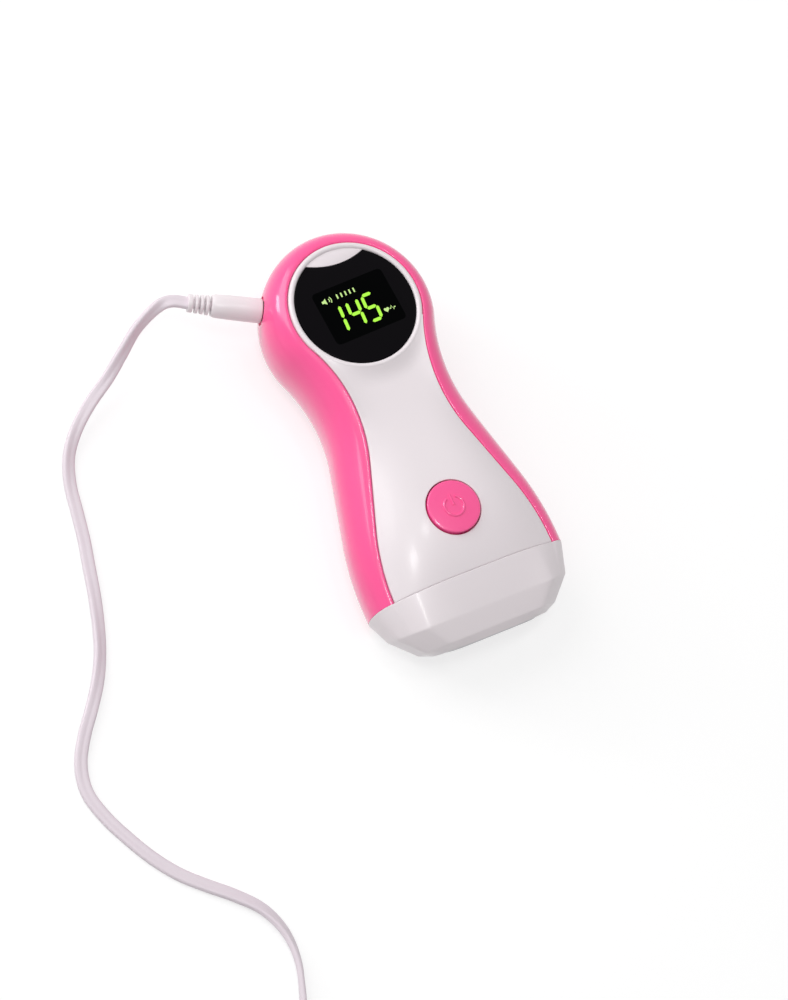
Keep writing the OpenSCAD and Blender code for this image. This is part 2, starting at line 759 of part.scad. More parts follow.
// The route that the lead takes over the table, each point with its roll in degrees
free_route = [
    [-52.5, 62.5, 18, 10], [-59.5, 59.5, 14.8, 35], [-65.5, 55, 11.2, 60],
    [-72, 50, 8, 45], [-79, 45.5, 5.2, 20], [-85.5, 40, 3.2, 5], [-90.5, 33.5, 1.8, 0],
    [-93.5, 25.5, 1.2, 0], [-95, 17, 1.1, 0], [-96.5, 8.5, 1.1, 0], [-98.5, 0, 1.1, 0],
    [-100.5, -8.5, 1.2, 5], [-103, -17, 1.4, 15], [-106, -25, 1.6, 30], [-110, -32.5, 1.8, 45],
    [-115, -39.5, 1.7, 30], [-120, -46, 1.4, 15], [-124, -53, 1.2, 5], [-125.5, -61, 1.1, 0],
    [-123.5, -69.5, 1.1, 0], [-120, -77.5, 1.1, 0], [-116, -85, 1.1, 0], [-111, -92, 1.1, 0],
    [-105, -98, 1.1, 5], [-98.5, -104, 1.3, 20], [-93, -110.5, 1.6, 35], [-90, -118.5, 1.8, 55],
    [-90, -127, 2, 70], [-92.5, -135.5, 2.1, 80], [-96, -144, 2.2, 90], [-99.3, -152, 2.4, 90],
    [-102.4, -159, 2.5, 90]];
exit_straight = 5;
free_path = concat([cord_exit, cord_exit + plug_out * exit_straight],
                   [for (p = free_route) [p[0], p[1], p[2]]], [coil_entry]);
free_rolls = concat([0, 0], [for (p = free_route) p[3]], [90]);
free_rings = let (rings = oval_rings(free_path, free_rolls, cord_width, cord_thick, 8),
                  last = len(rings) - 1)
    concat([squared_ring(cord_exit, plug_out, 0, 8)], [for (i = [1:last - 1]) rings[i]],
           [squared_ring(coil_entry, coil_heading(coil_start), 90, 8)]);
// A ring that stands square to a given heading, where the lead meets another piece
function squared_ring(p, heading, roll, sides) =
    oval_rings([p, p + heading], [roll, roll], cord_width, cord_thick, sides)[0];

module lead_cord() {
    color("white") ring_loft(free_rings);
}
coil_tube = oval_rings(coil_path, [for (p = coil_path) 90], cord_width, cord_thick, 6);
module lead_coil() {
    color("white") ring_loft(coil_tube);
}

// Least distance between points of the coil that are half a turn or more apart
turn_rings = [for (i = [1:coil_rings * coil_turns]) coil_tube[i]];
coil_gap = min([for (i = [0:len(turn_rings) - 1],
                     j = [i + coil_rings - 1:1:min(i + 2 * coil_rings, len(turn_rings) - 1)])
    if ((j - i) % coil_rings <= 1 || (j - i) % coil_rings == coil_rings - 1)
        each [for (p = turn_rings[i], q = turn_rings[j]) norm(p - q)]]);
function path_length(points, i = 1) =
    i >= len(points) ? 0 : norm(points[i] - points[i - 1]) + path_length(points, i + 1);
echo(coil_gap = coil_gap, free_length = path_length(free_path),
     coil_length = path_length(coil_path));

tie_angle = 340;
tie_width = 6;
tie_thick = 0.45;
module coil_tie() {
    inner = [coil_outer - coil_pitch * coil_turns / 2 - cord_thick / 2 - 0.1,
             coil_outer + cord_thick / 2 + 0.15];
    low = coil_low - cord_width / 2 - 0.1;
    high = coil_low + layer_rise + cord_width / 2 + 0.1;
    color("black") translate([coil_centre[0], coil_centre[1], 0]) rotate([0, 0, tie_angle])
        difference() {
            box([inner[0] - tie_thick, -tie_width / 2, low - tie_thick],
                [inner[1] + tie_thick, tie_width / 2, high + tie_thick]);
            box([inner[0], -tie_width, low], [inner[1], tie_width, high]);
        }
}
module at_far_plug() {
    translate(tail_last) rotate([0, 0, coil_end_angle + 90]) rotate([0, 90, 0])
        translate([0, 0, barrel_length + relief_length]) rotate([180, 0, 0]) children();
}
module far_plug_barrel() {
    color("whitesmoke") at_far_plug() plug_body();
}
module far_plug_shaft() {
    color("silver") at_far_plug() plug_shaft_body();
}

// ---------- probe ----------

// The octagon of the cap, in a square of half width 1: its radius in direction a
corner_normal = 27.3;
corner_reach = 1.1;
function octagon_radius(a) = min(
    1 / max(eps, abs(sin(a))), 1 / max(eps, abs(cos(a))),
    corner_reach / (abs(cos(a)) * cos(corner_normal) + abs(sin(a)) * sin(corner_normal)));
function round_radius(a) = 1 / pow(pow(abs(cos(a)), 2.4) + pow(abs(sin(a)), 2.4), 1 / 2.4);

// Section of the whole body at the parting line, clockwise from its left front edge
parting_section =
    let (flank = wall_run(all_steps, 0), last = len(flank) - 1,
         half = half_width(cover_line, parting_drop))
    concat(
        [for (c = [-cover_columns:cover_columns]) let (x = half * c / cover_columns)
            [x, front_height(x, parting_drop)]],
        [for (j = [1:last]) [flank[j][0], flank[j][2]]],
        [for (s = [2:-1:-2]) [s * flank[last][0] / 3, 0]],
        [for (j = [last:-1:1]) [-flank[j][0], flank[j][2]]]);
section_middle = (middle_height(parting_drop)) / 2;
section_angles = [for (p = parting_section)
    atan2((p[1] - section_middle) / section_middle, p[0] / base_half)];

// A ring of the cap: half width, lowest and highest point, their drops, and its corners
function cap_ring(half, low, high, low_drop, high_drop, sharp) =
    [for (a = section_angles)
        let (r = sharp * octagon_radius(a) + (1 - sharp) * round_radius(a),
             z = (low + high) / 2 + r * sin(a) * (high - low) / 2)
        [half * r * cos(a), y_of(low_drop + (high_drop - low_drop) * (z - low) / (high - low)), z]];
function parting_ring(t, drop) =
    let (sx = 1 - t / base_half, sz = 1 - t / section_middle)
    [for (p = parting_section)
        [p[0] * sx, y_of(drop), section_middle + (p[1] - section_middle) * sz]];

facet_drop = 97;
chamfer_drop = 103.3;
face_low = face_top - face_length * cos(face_tilt);
face_low_drop = probe_drop - face_length * sin(face_tilt);
lip_depth = 2.5;
lip_gap = 2.3;
module probe_cap() {
    color("white") difference() {
        ring_loft([
            cap_ring(19.5, face_low, face_top, face_low_drop, probe_drop, 0),
            cap_ring(21.5, face_low - 1.2, face_top + 1.2, face_low_drop - 1, chamfer_drop, 0),
            cap_ring(28.6, 1.5, 24.7, 92, facet_drop, 1),
            parting_ring(0, parting_drop),
            parting_ring(lip_gap, parting_drop),
            parting_ring(lip_gap, parting_drop - lip_depth),
            parting_ring(lip_gap + 1.2, parting_drop - lip_depth),
            cap_ring(25.9, 4, 22, 90, facet_drop - 1.5, 1),
            cap_ring(18.4, face_low + 1, face_top - 0.6, face_low_drop - 2.4, probe_drop - 2.4, 0)]);
        at_probe() translate([0, 0, -4]) stadium(window_length, window_width, 6);
    }
}
window_length = 30;
window_width = 11;
module contact_window() {
    color("gainsboro") at_probe() translate([0, 0, -1.5])
        stadium(window_length - 0.1, window_width - 0.1, 1.9);
}
crystal_radius = 4.6;
crystal_offset = 7.5;
module transmit_crystal() {
    color("khaki") at_probe() translate([-crystal_offset, 0, -2.6]) cylinder(h = 1, r = crystal_radius);
}
module receive_crystal() {
    color("khaki") at_probe() translate([crystal_offset, 0, -2.6]) cylinder(h = 1, r = crystal_radius);
}
holder_depth = 9;
module crystal_holder() {
    color("lightgray") at_probe() translate([0, 0, -1.6 - holder_depth]) difference() {
        stadium(27.5, 10.6, holder_depth);
        for (s = [-1, 1]) translate([s * crystal_offset, 0, 1.5])
            cylinder(h = holder_depth, r = crystal_radius + 0.05);
        translate([-0.6, -6, holder_depth - 5]) cube([1.2, 12, 6]);
    }
}
module crystal_divider() {
    color("saddlebrown") at_probe() translate([-0.5, -4.8, -6.5]) cube([1, 9.6, 4.9]);
}
module backing_foam() {
    color("darkorange") at_probe() for (s = [-1, 1])
        translate([s * crystal_offset, 0, -holder_depth])
            cylinder(h = holder_depth - 2.7, r = crystal_radius - 0.1);
}
// Screened wires from the holder's back to the board's end
probe_wire = 1.3;
module probe_leads() {
    color("darkred") for (s = [-1, 1])
        wire([[s * 9.5, y_of(92.65), 16.2], [s * 9.5, y_of(88), 17.4], [s * 8.5, y_of(82), 18.6],
              [s * 7.5, y_of(76), 18.4], [s * 7, y_of(71.5), board_top + 0.67]], probe_wire);
}

// ---------- batteries ----------

cell_x = cell_diameter / 2 + 0.35;
cell_z = 2.25 + cell_diameter / 2;
cell_nub = 0.8;
cell_nub_radius = 1.9;
bay_top = 14.3;
plate_thick = 0.4;
plate_half = 4;
low_plate_y = door_end_y + 1.02 + plate_thick;
high_plate_y = hinge_y - 0.92 - plate_thick;
module battery(side, nub_up) {
    start = nub_up ? high_plate_y - cell_length - cell_nub : low_plate_y;
    color(side < 0 ? "orange" : "gold")
        translate([side * cell_x, start, cell_z]) rotate([-90, 0, 0]) {
            translate([0, 0, nub_up ? 0 : cell_nub])
                cylinder(h = cell_length, r = cell_diameter / 2);
            translate([0, 0, nub_up ? cell_length - eps : 0])
                cylinder(h = cell_nub + eps, r = cell_nub_radius);
        }
}
module battery_left() { battery(-1, true); }
module battery_right() { battery(1, false); }

module battery_cradle() {
    color("dimgray") difference() {
        box([-door_half - 0.9, door_end_y + 0.1, wall + 0.02], [door_half + 0.9, hinge_y + 0.2, bay_top]);
        box([-door_half + 0.2, door_end_y + 1, 0], [door_half - 0.2, hinge_y - 0.9, bay_top - 1.1]);
        // Room for the door's hinge bar and for its tongue
        box([-door_half - 0.2, hinge_y - 1.3, 0], [door_half + 0.2, hinge_y + 1, wall + 0.4]);
        box([-5, door_end_y - 1, 0], [5, door_end_y + 4, 5]);
    }
}
spring_radius = 2.9;
spring_wire = 0.4;
spring_curls = 3;
spring_pitch = 0.9;
spring_taper = 0.25;
spring_steps = 12;
module battery_spring(side, base_y, toward) {
    // The curls tighten towards the cell
    wire([for (i = [0:spring_curls * spring_steps])
        let (t = i / spring_steps, a = 360 * t, r = spring_radius - spring_taper * t)
        [side * cell_x + r * cos(a), base_y + toward * (spring_wire / 2 + 0.02 + spring_pitch * t),
         cell_z + r * sin(a)]], spring_wire);
}
module battery_springs() {
    color("silver") {
        battery_spring(-1, low_plate_y, 1);
        battery_spring(1, high_plate_y, -1);
    }
}
module contact_plates() {
    color("goldenrod") for (s = [-1, 1], y = [low_plate_y - plate_thick, high_plate_y])
        box([s * cell_x - plate_half, y, cell_z - plate_half],
            [s * cell_x + plate_half, y + plate_thick, cell_z + plate_half]);
}
// The leads climb from the cradle's end wall beside the board's neck and land on it
module battery_leads() {
    color("red") for (s = [-1, 1])
        wire([[s * 7.2, hinge_y + 0.62, bay_top - 1.5], [s * 6.6, hinge_y + 0.9, bay_top - 0.9],
              [s * 6, hinge_y + 1.1, bay_top + 0.4], [s * 5.6, hinge_y + 1, board_top - 0.2],
              [s * 5.1, hinge_y + 0.8, board_top + 0.8], [s * 4.1, hinge_y + 0.5, board_top + 0.6]], 1);
}

grip_grooves = 4;
module battery_door() {
    color("hotpink") difference() {
        union() {
            box([-door_half, door_end_y, 0], [door_half, hinge_y - 0.2, door_thick]);
            hinge_bar(door_half, hinge_radius);
            hinge_bar(door_half + hinge_pin_reach, hinge_pin_radius);
            // The springy latch tongue stands inside the free end
            box([-4, door_end_y + 0.6, door_thick - 0.1], [4, door_end_y + 1.6, wall + 1.2]);
        }
        // Grooves in the outer face give the thumb its grip
        for (i = [0:grip_grooves - 1]) let (y = door_end_y + 3 + 2 * i)
            box([-7, y, -1], [7, y + 0.8, 0.4]);
    }
}

rear_shell();
front_cover();
display_lens();
display_panel();
display_backlight();
display_frame();
contact_strips();
main_board();
main_chip();
amplifier_chip();
crystal_can();
capacitors();
chip_resistors();
board_screws();
housing_screws();
power_button();
power_switch();
switch_plunger();
volume_rocker();
rocker_pin();
volume_switches();
headphone_jack();
plug_barrel();
plug_shaft();
lead_cord();
lead_coil();
coil_tie();
far_plug_barrel();
far_plug_shaft();
probe_cap();
contact_window();
transmit_crystal();
receive_crystal();
crystal_holder();
crystal_divider();
backing_foam();
probe_leads();
battery_left();
battery_right();
battery_cradle();
battery_springs();
contact_plates();
battery_leads();
battery_door();
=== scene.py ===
# %% [markdown]
# # A fetal doppler monitor and its audio lead
# A home monitor like this is two glossy mouldings, a pink back shell and a white front, with a
# lit number behind a black lens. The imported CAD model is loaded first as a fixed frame, and every
# piece below is made in its place, in the same metres.
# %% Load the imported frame
import json
import math
import bmesh
import bpy
from mathutils import Matrix, Vector


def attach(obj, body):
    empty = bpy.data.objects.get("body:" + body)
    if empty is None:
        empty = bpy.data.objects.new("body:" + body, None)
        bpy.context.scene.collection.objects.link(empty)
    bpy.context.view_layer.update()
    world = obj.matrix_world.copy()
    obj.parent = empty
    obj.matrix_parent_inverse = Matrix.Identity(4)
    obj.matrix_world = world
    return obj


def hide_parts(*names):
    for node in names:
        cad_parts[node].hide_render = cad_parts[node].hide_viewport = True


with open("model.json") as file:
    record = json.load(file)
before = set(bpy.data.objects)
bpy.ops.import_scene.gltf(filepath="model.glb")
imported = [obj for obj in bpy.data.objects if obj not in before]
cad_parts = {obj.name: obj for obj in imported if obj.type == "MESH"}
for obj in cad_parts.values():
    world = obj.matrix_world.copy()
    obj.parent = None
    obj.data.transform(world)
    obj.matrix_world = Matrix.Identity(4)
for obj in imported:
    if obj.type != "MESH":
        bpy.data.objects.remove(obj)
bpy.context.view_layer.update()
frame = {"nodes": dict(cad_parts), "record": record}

# %% [markdown]
# ## The camera
# The photograph was matched by one perspective camera. Its three axes and its place are written
# out here as numbers, because the match was made outside Blender from the lens, the ring and the
# cap.
# %% Set up the camera
scene = bpy.context.scene
PHOTO_WIDTH = 788
FOCAL_PIXELS = 2713.19
CAMERA_PLACE = Vector((-0.296415, -0.192422, 0.738949))
CAMERA_RIGHT = Vector((0.87369551, -0.42097586, 0.24379395))
CAMERA_UP = Vector((0.32802449, 0.87988588, 0.34380338))
CAMERA_BACK = Vector((-0.35924378, -0.22040908, 0.90684273))
camera_data = bpy.data.cameras.new("photo_camera")
camera_data.sensor_fit = "HORIZONTAL"
camera_data.sensor_width = 36
camera_data.lens = FOCAL_PIXELS * camera_data.sensor_width / PHOTO_WIDTH
camera_data.clip_start = 0.01
camera = bpy.data.objects.new("photo_camera", camera_data)
scene.collection.objects.link(camera)
camera_turn = Matrix((CAMERA_RIGHT, CAMERA_UP, CAMERA_BACK)).transposed().to_4x4()
camera.matrix_world = Matrix.Translation(CAMERA_PLACE) @ camera_turn
scene.camera = camera
print("focal length", round(camera_data.lens, 2), "mm")

# %% [markdown]
# ## Helpers for shapes
# A moulded shell is a skin stretched over sections. Here each section is a path of points, all of
# the same count. A grid from Blender's own create operator gets one row for each path, and each
# of its vertices is moved to its point. Sections in millimetres are easier to read, so the mesh
# is scaled to metres when a piece is finished.
# %% Make a skin over paths
MM = 0.001
HEAD_Y = 39.25
LENS_Z = 30.5
SAME_PLACE = 1e-4


def skin(bm, paths, closed=False):
    """Stretches a grid over the paths; closed paths end where they begin and are sewn there."""
    columns, rows = len(paths[0]), len(paths)
    made = bmesh.ops.create_grid(bm, x_segments=columns - 1, y_segments=rows - 1, size=1)["verts"]
    for vert in made:
        column = round((vert.co.x + 1) / 2 * (columns - 1))
        row = round((vert.co.y + 1) / 2 * (rows - 1))
        vert.co = paths[row][column]
    if closed:
        bmesh.ops.remove_doubles(bm, verts=made, dist=SAME_PLACE)
    return [vert for vert in made if vert.is_valid]


def fill_ends(bm):
    """Closes every open loop with one flat face."""
    bmesh.ops.holes_fill(bm, edges=[edge for edge in bm.edges if edge.is_boundary], sides=0)


def arc(centre, radius, start, stop, steps):
    """Points of an arc in a plane, from one angle in degrees to another."""
    angles = [math.radians(start + (stop - start) * i / steps) for i in range(steps + 1)]
    return [(centre[0] + radius * math.cos(a), centre[1] + radius * math.sin(a)) for a in angles]


def rounded(points, radii, steps=4):
    """The path through points, with each inner corner eased by its radius."""
    path = [Vector(points[0])]
    for before, corner, after, radius in zip(points, points[1:], points[2:], radii):
        before, corner, after = Vector(before), Vector(corner), Vector(after)
        enter = corner + (before - corner).normalized() * min(radius, (before - corner).length / 2)
        leave = corner + (after - corner).normalized() * min(radius, (after - corner).length / 2)
        for i in range(steps + 1):
            t = i / steps
            path.append(enter * (1 - t) ** 2 + corner * 2 * t * (1 - t) + leave * t ** 2)
    return path + [Vector(points[-1])]


print("a rounded corner has", len(rounded([(0, 0, 0), (1, 0, 0), (1, 1, 0)], [0.2])), "points")

# %% [markdown]
# A turned shape, such as a plug or a button, is a profile spun about its axis. The spin operator
# makes it, and the profile's points are (radius, height) pairs.
# %% Spin a profile


def lathe(bm, profile, steps=64, place=Matrix()):
    """Spins (radius, height) points about Z, sews the seam, and moves the result to its place."""
    verts = [bm.verts.new((radius, 0, height)) for radius, height in profile]
    edges = [bm.edges.new(pair) for pair in zip(verts, verts[1:])]
    before = set(bm.verts) - set(verts)
    bmesh.ops.spin(bm, geom=verts + edges, cent=(0, 0, 0), axis=(0, 0, 1), dvec=(0, 0, 0),
                   angle=math.tau, steps=steps, use_merge=True, use_duplicate=False)
    turned = [vert for vert in bm.verts if vert not in before]
    bmesh.ops.remove_doubles(bm, verts=turned, dist=SAME_PLACE)
    turned = [vert for vert in turned if vert.is_valid]
    bmesh.ops.transform(bm, matrix=place, verts=turned)


def put(bm, place):
    """Moves the whole workshop mesh to its place."""
    bmesh.ops.transform(bm, matrix=place, verts=bm.verts)


def slab(bm, outline, low, high, bevel=0.0, segments=2):
    """A flat outline of (x, y) points drawn up into a slab whose top edge is eased."""
    face = bm.faces.new([bm.verts.new((x, y, low)) for x, y in outline])
    grown = bmesh.ops.extrude_face_region(bm, geom=[face])["geom"]
    lifted = [item for item in grown if isinstance(item, bmesh.types.BMVert)]
    bmesh.ops.translate(bm, vec=(0, 0, high - low), verts=lifted)
    if bevel:
        top = [item for item in grown if isinstance(item, bmesh.types.BMEdge)]
        bmesh.ops.bevel(bm, geom=top, offset=bevel, segments=segments, profile=0.5,
                        affect="EDGES", material=-1, clamp_overlap=True)


def rounded_rectangle(width, height, radius, steps=5):
    """Outline of a rectangle with round corners, about the origin."""
    x, y = width / 2 - radius, height / 2 - radius
    return [point for cx, cy, start in ((x, y, 0), (-x, y, 90), (-x, -y, 180), (x, -y, 270))
            for point in arc((cx, cy), radius, start, start + 90, steps)]


print("a 2 x 1 plate outline has", len(rounded_rectangle(2, 1, 0.1)), "points")

# %% [markdown]
# Every new piece leaves its workshop in the same way: normals out, millimetres to metres, smooth
# shading with crisp edges kept, a finish, the CAD body that carries it and the CAD nodes it
# stands for.
# %% Finish and mount a piece
finishes = {}
CRISP_ANGLE = math.radians(35)


def workpiece(bm, name):
    """Makes an object of the workshop mesh, with normals out and in metres."""
    bmesh.ops.recalc_face_normals(bm, faces=bm.faces)
    bmesh.ops.scale(bm, vec=(MM, MM, MM), verts=bm.verts)
    mesh = bpy.data.meshes.new(name)
    bm.to_mesh(mesh)
    bm.free()
    piece = bpy.data.objects.new(name, mesh)
    scene.collection.objects.link(piece)
    return piece


def finished(bm, name, finish, body, stands_for=()):
    """Turns the workshop mesh into a piece of the monitor."""
    piece = workpiece(bm, name)
    mesh = piece.data
    mesh.shade_smooth()
    mesh.set_sharp_from_angle(angle=CRISP_ANGLE)
    mesh.materials.append(finishes[finish])
    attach(piece, body)
    if stands_for:
        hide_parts(*stands_for)
    print(name, len(mesh.polygons), "faces")
    return piece


def cut(piece, cutter_bm):
    """Cuts the workshop mesh's volume out of a piece, and keeps the result."""
    cutter = workpiece(cutter_bm, "cutter")
    cutter_mesh = cutter.data
    modifier = piece.modifiers.new("cut", "BOOLEAN")
    modifier.object = cutter
    modifier.solver = "EXACT"
    modifier.use_self = True
    with bpy.context.temp_override(object=piece, active_object=piece):
        bpy.ops.object.modifier_apply(modifier="cut")
    bpy.data.objects.remove(cutter)
    bpy.data.meshes.remove(cutter_mesh)
    piece.data.set_sharp_from_angle(angle=CRISP_ANGLE)
    print(piece.name, "cut to", len(piece.data.polygons), "faces")


print("workshop ready")

# %% [markdown]
# ## Finishes
# A socket wrapped in a small class can stand in a Python sum, and each sum adds its Math nodes.
# Any other node comes from one method, which sets the node's own choices first and its sockets
# after.
# %% Write node maths as Python


class Signal:
    """A number on a node's output, ready for sums and products."""

    def __init__(self, finish, socket):
        self.finish, self.socket = finish, socket

    def maths(self, operation, left, right):
        return self.finish.node("ShaderNodeMath", {"operation": operation}, {0: left, 1: right})

    def __add__(self, other):
        return self.maths("ADD", self, other)

    __radd__ = __add__

    def __sub__(self, other):
        return self.maths("SUBTRACT", self, other)

    def __rsub__(self, other):
        return self.maths("SUBTRACT", other, self)

    def __mul__(self, other):
        return self.maths("MULTIPLY", self, other)

    __rmul__ = __mul__


def colour(red, green, blue):
    """A colour given as 0 to 255 on screen, as the shader's own linear numbers."""
    return tuple((c / 255 / 12.92) if c <= 10 else ((c / 255 + 0.055) / 1.055) ** 2.4
                 for c in (red, green, blue)) + (1.0,)


class Bench:
    """A node tree with the two things that a maker does to one: place nodes and feed sockets."""

    def __init__(self, tree):
        self.tree = tree

    def feed(self, socket, value):
        if isinstance(value, Signal):
            self.tree.links.new(value.socket, socket)
        else:
            socket.default_value = value

    def node(self, kind, settings=None, inputs=None, output=0):
        made = self.tree.nodes.new(kind)
        for name, value in (settings or {}).items():
            setattr(made, name, value)
        for name, value in (inputs or {}).items():
            self.feed(made.inputs[name], value)
        return Signal(self, made.outputs[output])

    def rays(self, *kinds):
        """1 for a ray of one of these kinds, else 0."""
        return sum(self.node("ShaderNodeLightPath", output=f"Is {kind} Ray") for kind in kinds)


class Finish(Bench):
    """A material for one of the record's slots, on the Principled shader."""

    def __init__(self, slot, base, roughness, **constants):
        self.material = bpy.data.materials.new(slot)
        self.material.use_nodes = True
        super().__init__(self.material.node_tree)
        self.shader = self.tree.nodes["Principled BSDF"]
        self.material.diffuse_color = base
        self.feed(self.shader.inputs["Base Color"], base)
        self.feed(self.shader.inputs["Roughness"], roughness)
        for name, value in constants.items():
            self.feed(self.shader.inputs[name.replace("_", " ")], value)
        self.base = base
        finishes[slot] = self.material

    def place(self):
        return self.node("ShaderNodeTexCoord", output="Object")

    def noise(self, grains_per_mm, detail=2.0):
        return self.node("ShaderNodeTexNoise", {}, {
            "Vector": self.place(), "Scale": grains_per_mm / MM, "Detail": detail}, "Fac")

    def mix(self, share, first, second):
        return self.node("ShaderNodeMix", {"data_type": "RGBA"}, {0: share, 6: first, 7: second}, 2)

    def bumps(self, height, depth_mm):
        bump = self.node("ShaderNodeBump", {}, {
            "Height": height, "Distance": depth_mm * MM, "Strength": 1.0})
        self.feed(self.shader.inputs["Normal"], bump)

    def moulded(self, shade, peel_mm, rough_low, rough_high):
        """Slow drifts of shade, and the faint orange peel and polish marks of a moulding."""
        drift = self.noise(0.03, 3)
        self.feed(self.shader.inputs["Base Color"], self.mix(drift, self.base, shade))
        polish = self.noise(0.5, 4)
        self.feed(self.shader.inputs["Roughness"], polish * (rough_high - rough_low) + rough_low)
        self.bumps(self.noise(1.1, 3) * 0.7 + self.noise(6.0, 2) * 0.3, peel_mm)


print("pure white is", colour(255, 255, 255))

# %% [markdown]
# The pink moulding is a deep gloss with the faint orange peel of a polished mould, so its colour
# only drifts a little and its roughness stays low. The white one is a softer gloss. Each slot of
# the record gets one finish with its own grain, also those of the parts inside.
# %% Mix the finishes
pink = Finish("pink_plastic", colour(255, 80, 153), 0.24, Coat_Weight=0.6, Coat_Roughness=0.05)
pink.moulded(colour(253, 73, 145), 0.012, 0.2, 0.3)
white = Finish("white_plastic", colour(238, 230, 233), 0.34, Coat_Weight=0.15, Coat_Roughness=0.1)
white.moulded(colour(235, 226, 230), 0.01, 0.28, 0.4)
lens_finish = Finish("lens", colour(10, 8, 12), 0.06, Specular_IOR_Level=0.04)
lens_finish.moulded(colour(9, 7, 10), 0.002, 0.05, 0.09)
glass = Finish("display_glass", colour(1, 1, 2), 0.08, Specular_IOR_Level=0.02)
glass.moulded(colour(0, 1, 1), 0.002, 0.07, 0.12)
for slot, base, rough, shade, peel, rough_low, rough_high in (
        ("diffuser", (236, 233, 222), 0.6, (228, 225, 212), 0.02, 0.5, 0.7),
        ("grey_plastic", (138, 138, 142), 0.5, (126, 126, 130), 0.03, 0.4, 0.6),
        ("elastomer", (52, 52, 54), 0.7, (40, 40, 42), 0.04, 0.6, 0.8),
        ("chip", (34, 34, 37), 0.55, (27, 27, 30), 0.02, 0.45, 0.65),
        ("capacitor", (36, 42, 92), 0.3, (28, 34, 80), 0.01, 0.2, 0.35),
        ("resistor", (70, 70, 74), 0.5, (52, 52, 56), 0.02, 0.4, 0.6),
        ("black_plastic", (32, 32, 34), 0.45, (24, 24, 26), 0.03, 0.35, 0.55),
        ("window_plastic", (224, 224, 226), 0.25, (217, 217, 220), 0.006, 0.2, 0.3),
        ("ceramic", (206, 192, 158), 0.5, (192, 176, 140), 0.02, 0.4, 0.6),
        ("cork", (158, 122, 88), 0.85, (112, 82, 54), 0.2, 0.75, 0.95),
        ("foam", (226, 142, 84), 0.9, (196, 112, 58), 0.25, 0.85, 1.0),
        ("wire_red", (186, 42, 40), 0.4, (168, 32, 32), 0.01, 0.35, 0.5),
        ("cell_sleeve", (92, 100, 112), 0.3, (78, 86, 98), 0.01, 0.22, 0.36)):
    Finish(slot, colour(*base), rough).moulded(colour(*shade), peel, rough_low, rough_high)
print("plastics mixed:", len(finishes))

# %% [markdown]
# Metal shows fine brushing or plating marks, a circuit board shows its tracks under green
# lacquer, and the lead's soft jacket is matter than the shell and a little mauve, as in the
# photograph.
# %% Mix the metals, the board and the jacket
for slot, shade, worn, rough in (("bright_metal", (226, 226, 230), (206, 206, 212), 0.16),
                                 ("screw", (198, 198, 202), (168, 168, 174), 0.34),
                                 ("contact_metal", (222, 198, 140), (202, 176, 116), 0.3)):
    metal = Finish(slot, colour(*shade), rough, Metallic=1.0)
    metal.moulded(colour(*worn), 0.006, rough - 0.05, rough + 0.1)
board = Finish("board", colour(38, 122, 78), 0.4)
tracks = board.node("ShaderNodeTexBrick", {}, {
    "Vector": board.place(), "Scale": 0.35 / MM, "Mortar Size": 0.04, "Mortar Smooth": 0.2}, "Fac")
board.feed(board.shader.inputs["Base Color"], board.mix(tracks, board.base, colour(58, 146, 96)))
board.bumps(tracks + board.noise(4.0) * 0.2, 0.03)
jacket = Finish("cord_jacket", colour(230, 219, 226), 0.4, Coat_Weight=0.1, Coat_Roughness=0.3)
jacket.moulded(colour(222, 209, 218), 0.02, 0.34, 0.46)
print("finishes:", len(finishes))

# %% [markdown]
# ## The audio lead
# The lead is a flat twin cord. It leaves the plug straight, falls to the table, wanders down the
# picture and goes into a neat stored coil just outside the view. The route's points are those of
# the CAD source, and the fourth number of each, its roll in degrees, was set to the photograph.
# %% Lay the lead's route
JACK_ANGLE = math.radians(154)
JACK_Z = 19.2
PLUG_FACE = 26.15
BARREL = 15.2
RELIEF = 6.9
CORD_WIDTH = 3.8
CORD_THICK = 1.9
plug_out = Vector((math.cos(JACK_ANGLE), math.sin(JACK_ANGLE), 0))
jack_place = Vector((0, HEAD_Y, JACK_Z))
cord_exit = jack_place + plug_out * (PLUG_FACE + BARREL + RELIEF)
ROUTE = [
    (-52.5, 62.5, 18, 35), (-59.5, 59.5, 14.8, 50), (-65.5, 55, 11.2, 35),
    (-72, 50, 8, 10), (-79, 45.5, 5.2, 0), (-85.5, 40, 3.2, 10), (-90.5, 33.5, 1.8, 22),
    (-93.5, 25.5, 1.2, 10), (-95, 17, 1.1, 2), (-96.5, 8.5, 1.1, 0), (-98.5, 0, 1.1, 0),
    (-100.5, -8.5, 1.2, 8), (-103, -17, 1.4, 20), (-106, -25, 1.6, 28), (-110, -32.5, 1.8, 15),
    (-115, -39.5, 1.7, 5), (-120, -46, 1.4, 5), (-124, -53, 1.2, 5), (-125.5, -61, 1.1, 0),
    (-123.5, -69.5, 1.1, 0), (-120, -77.5, 1.1, 0), (-116, -85, 1.1, 0), (-111, -92, 1.1, 0),
    (-105, -98, 1.1, 5), (-98.5, -104, 1.3, 15), (-93, -110.5, 1.6, 32), (-90, -118.5, 1.8, 52),
    (-90, -127, 2, 70), (-92.5, -135.5, 2.1, 80), (-96, -144, 2.2, 90), (-99.3, -152, 2.4, 90),
    (-102.4, -159, 2.5, 90)]
COIL_CENTRE = (-83.5, -178.5)
COIL_START = 157
COIL_OUTER = 25.2
COIL_PITCH = 2.9
COIL_LOW = 2.5
LAYER_RISE = 4.35
TURNS = 6.25
STEPS_PER_TURN = 32


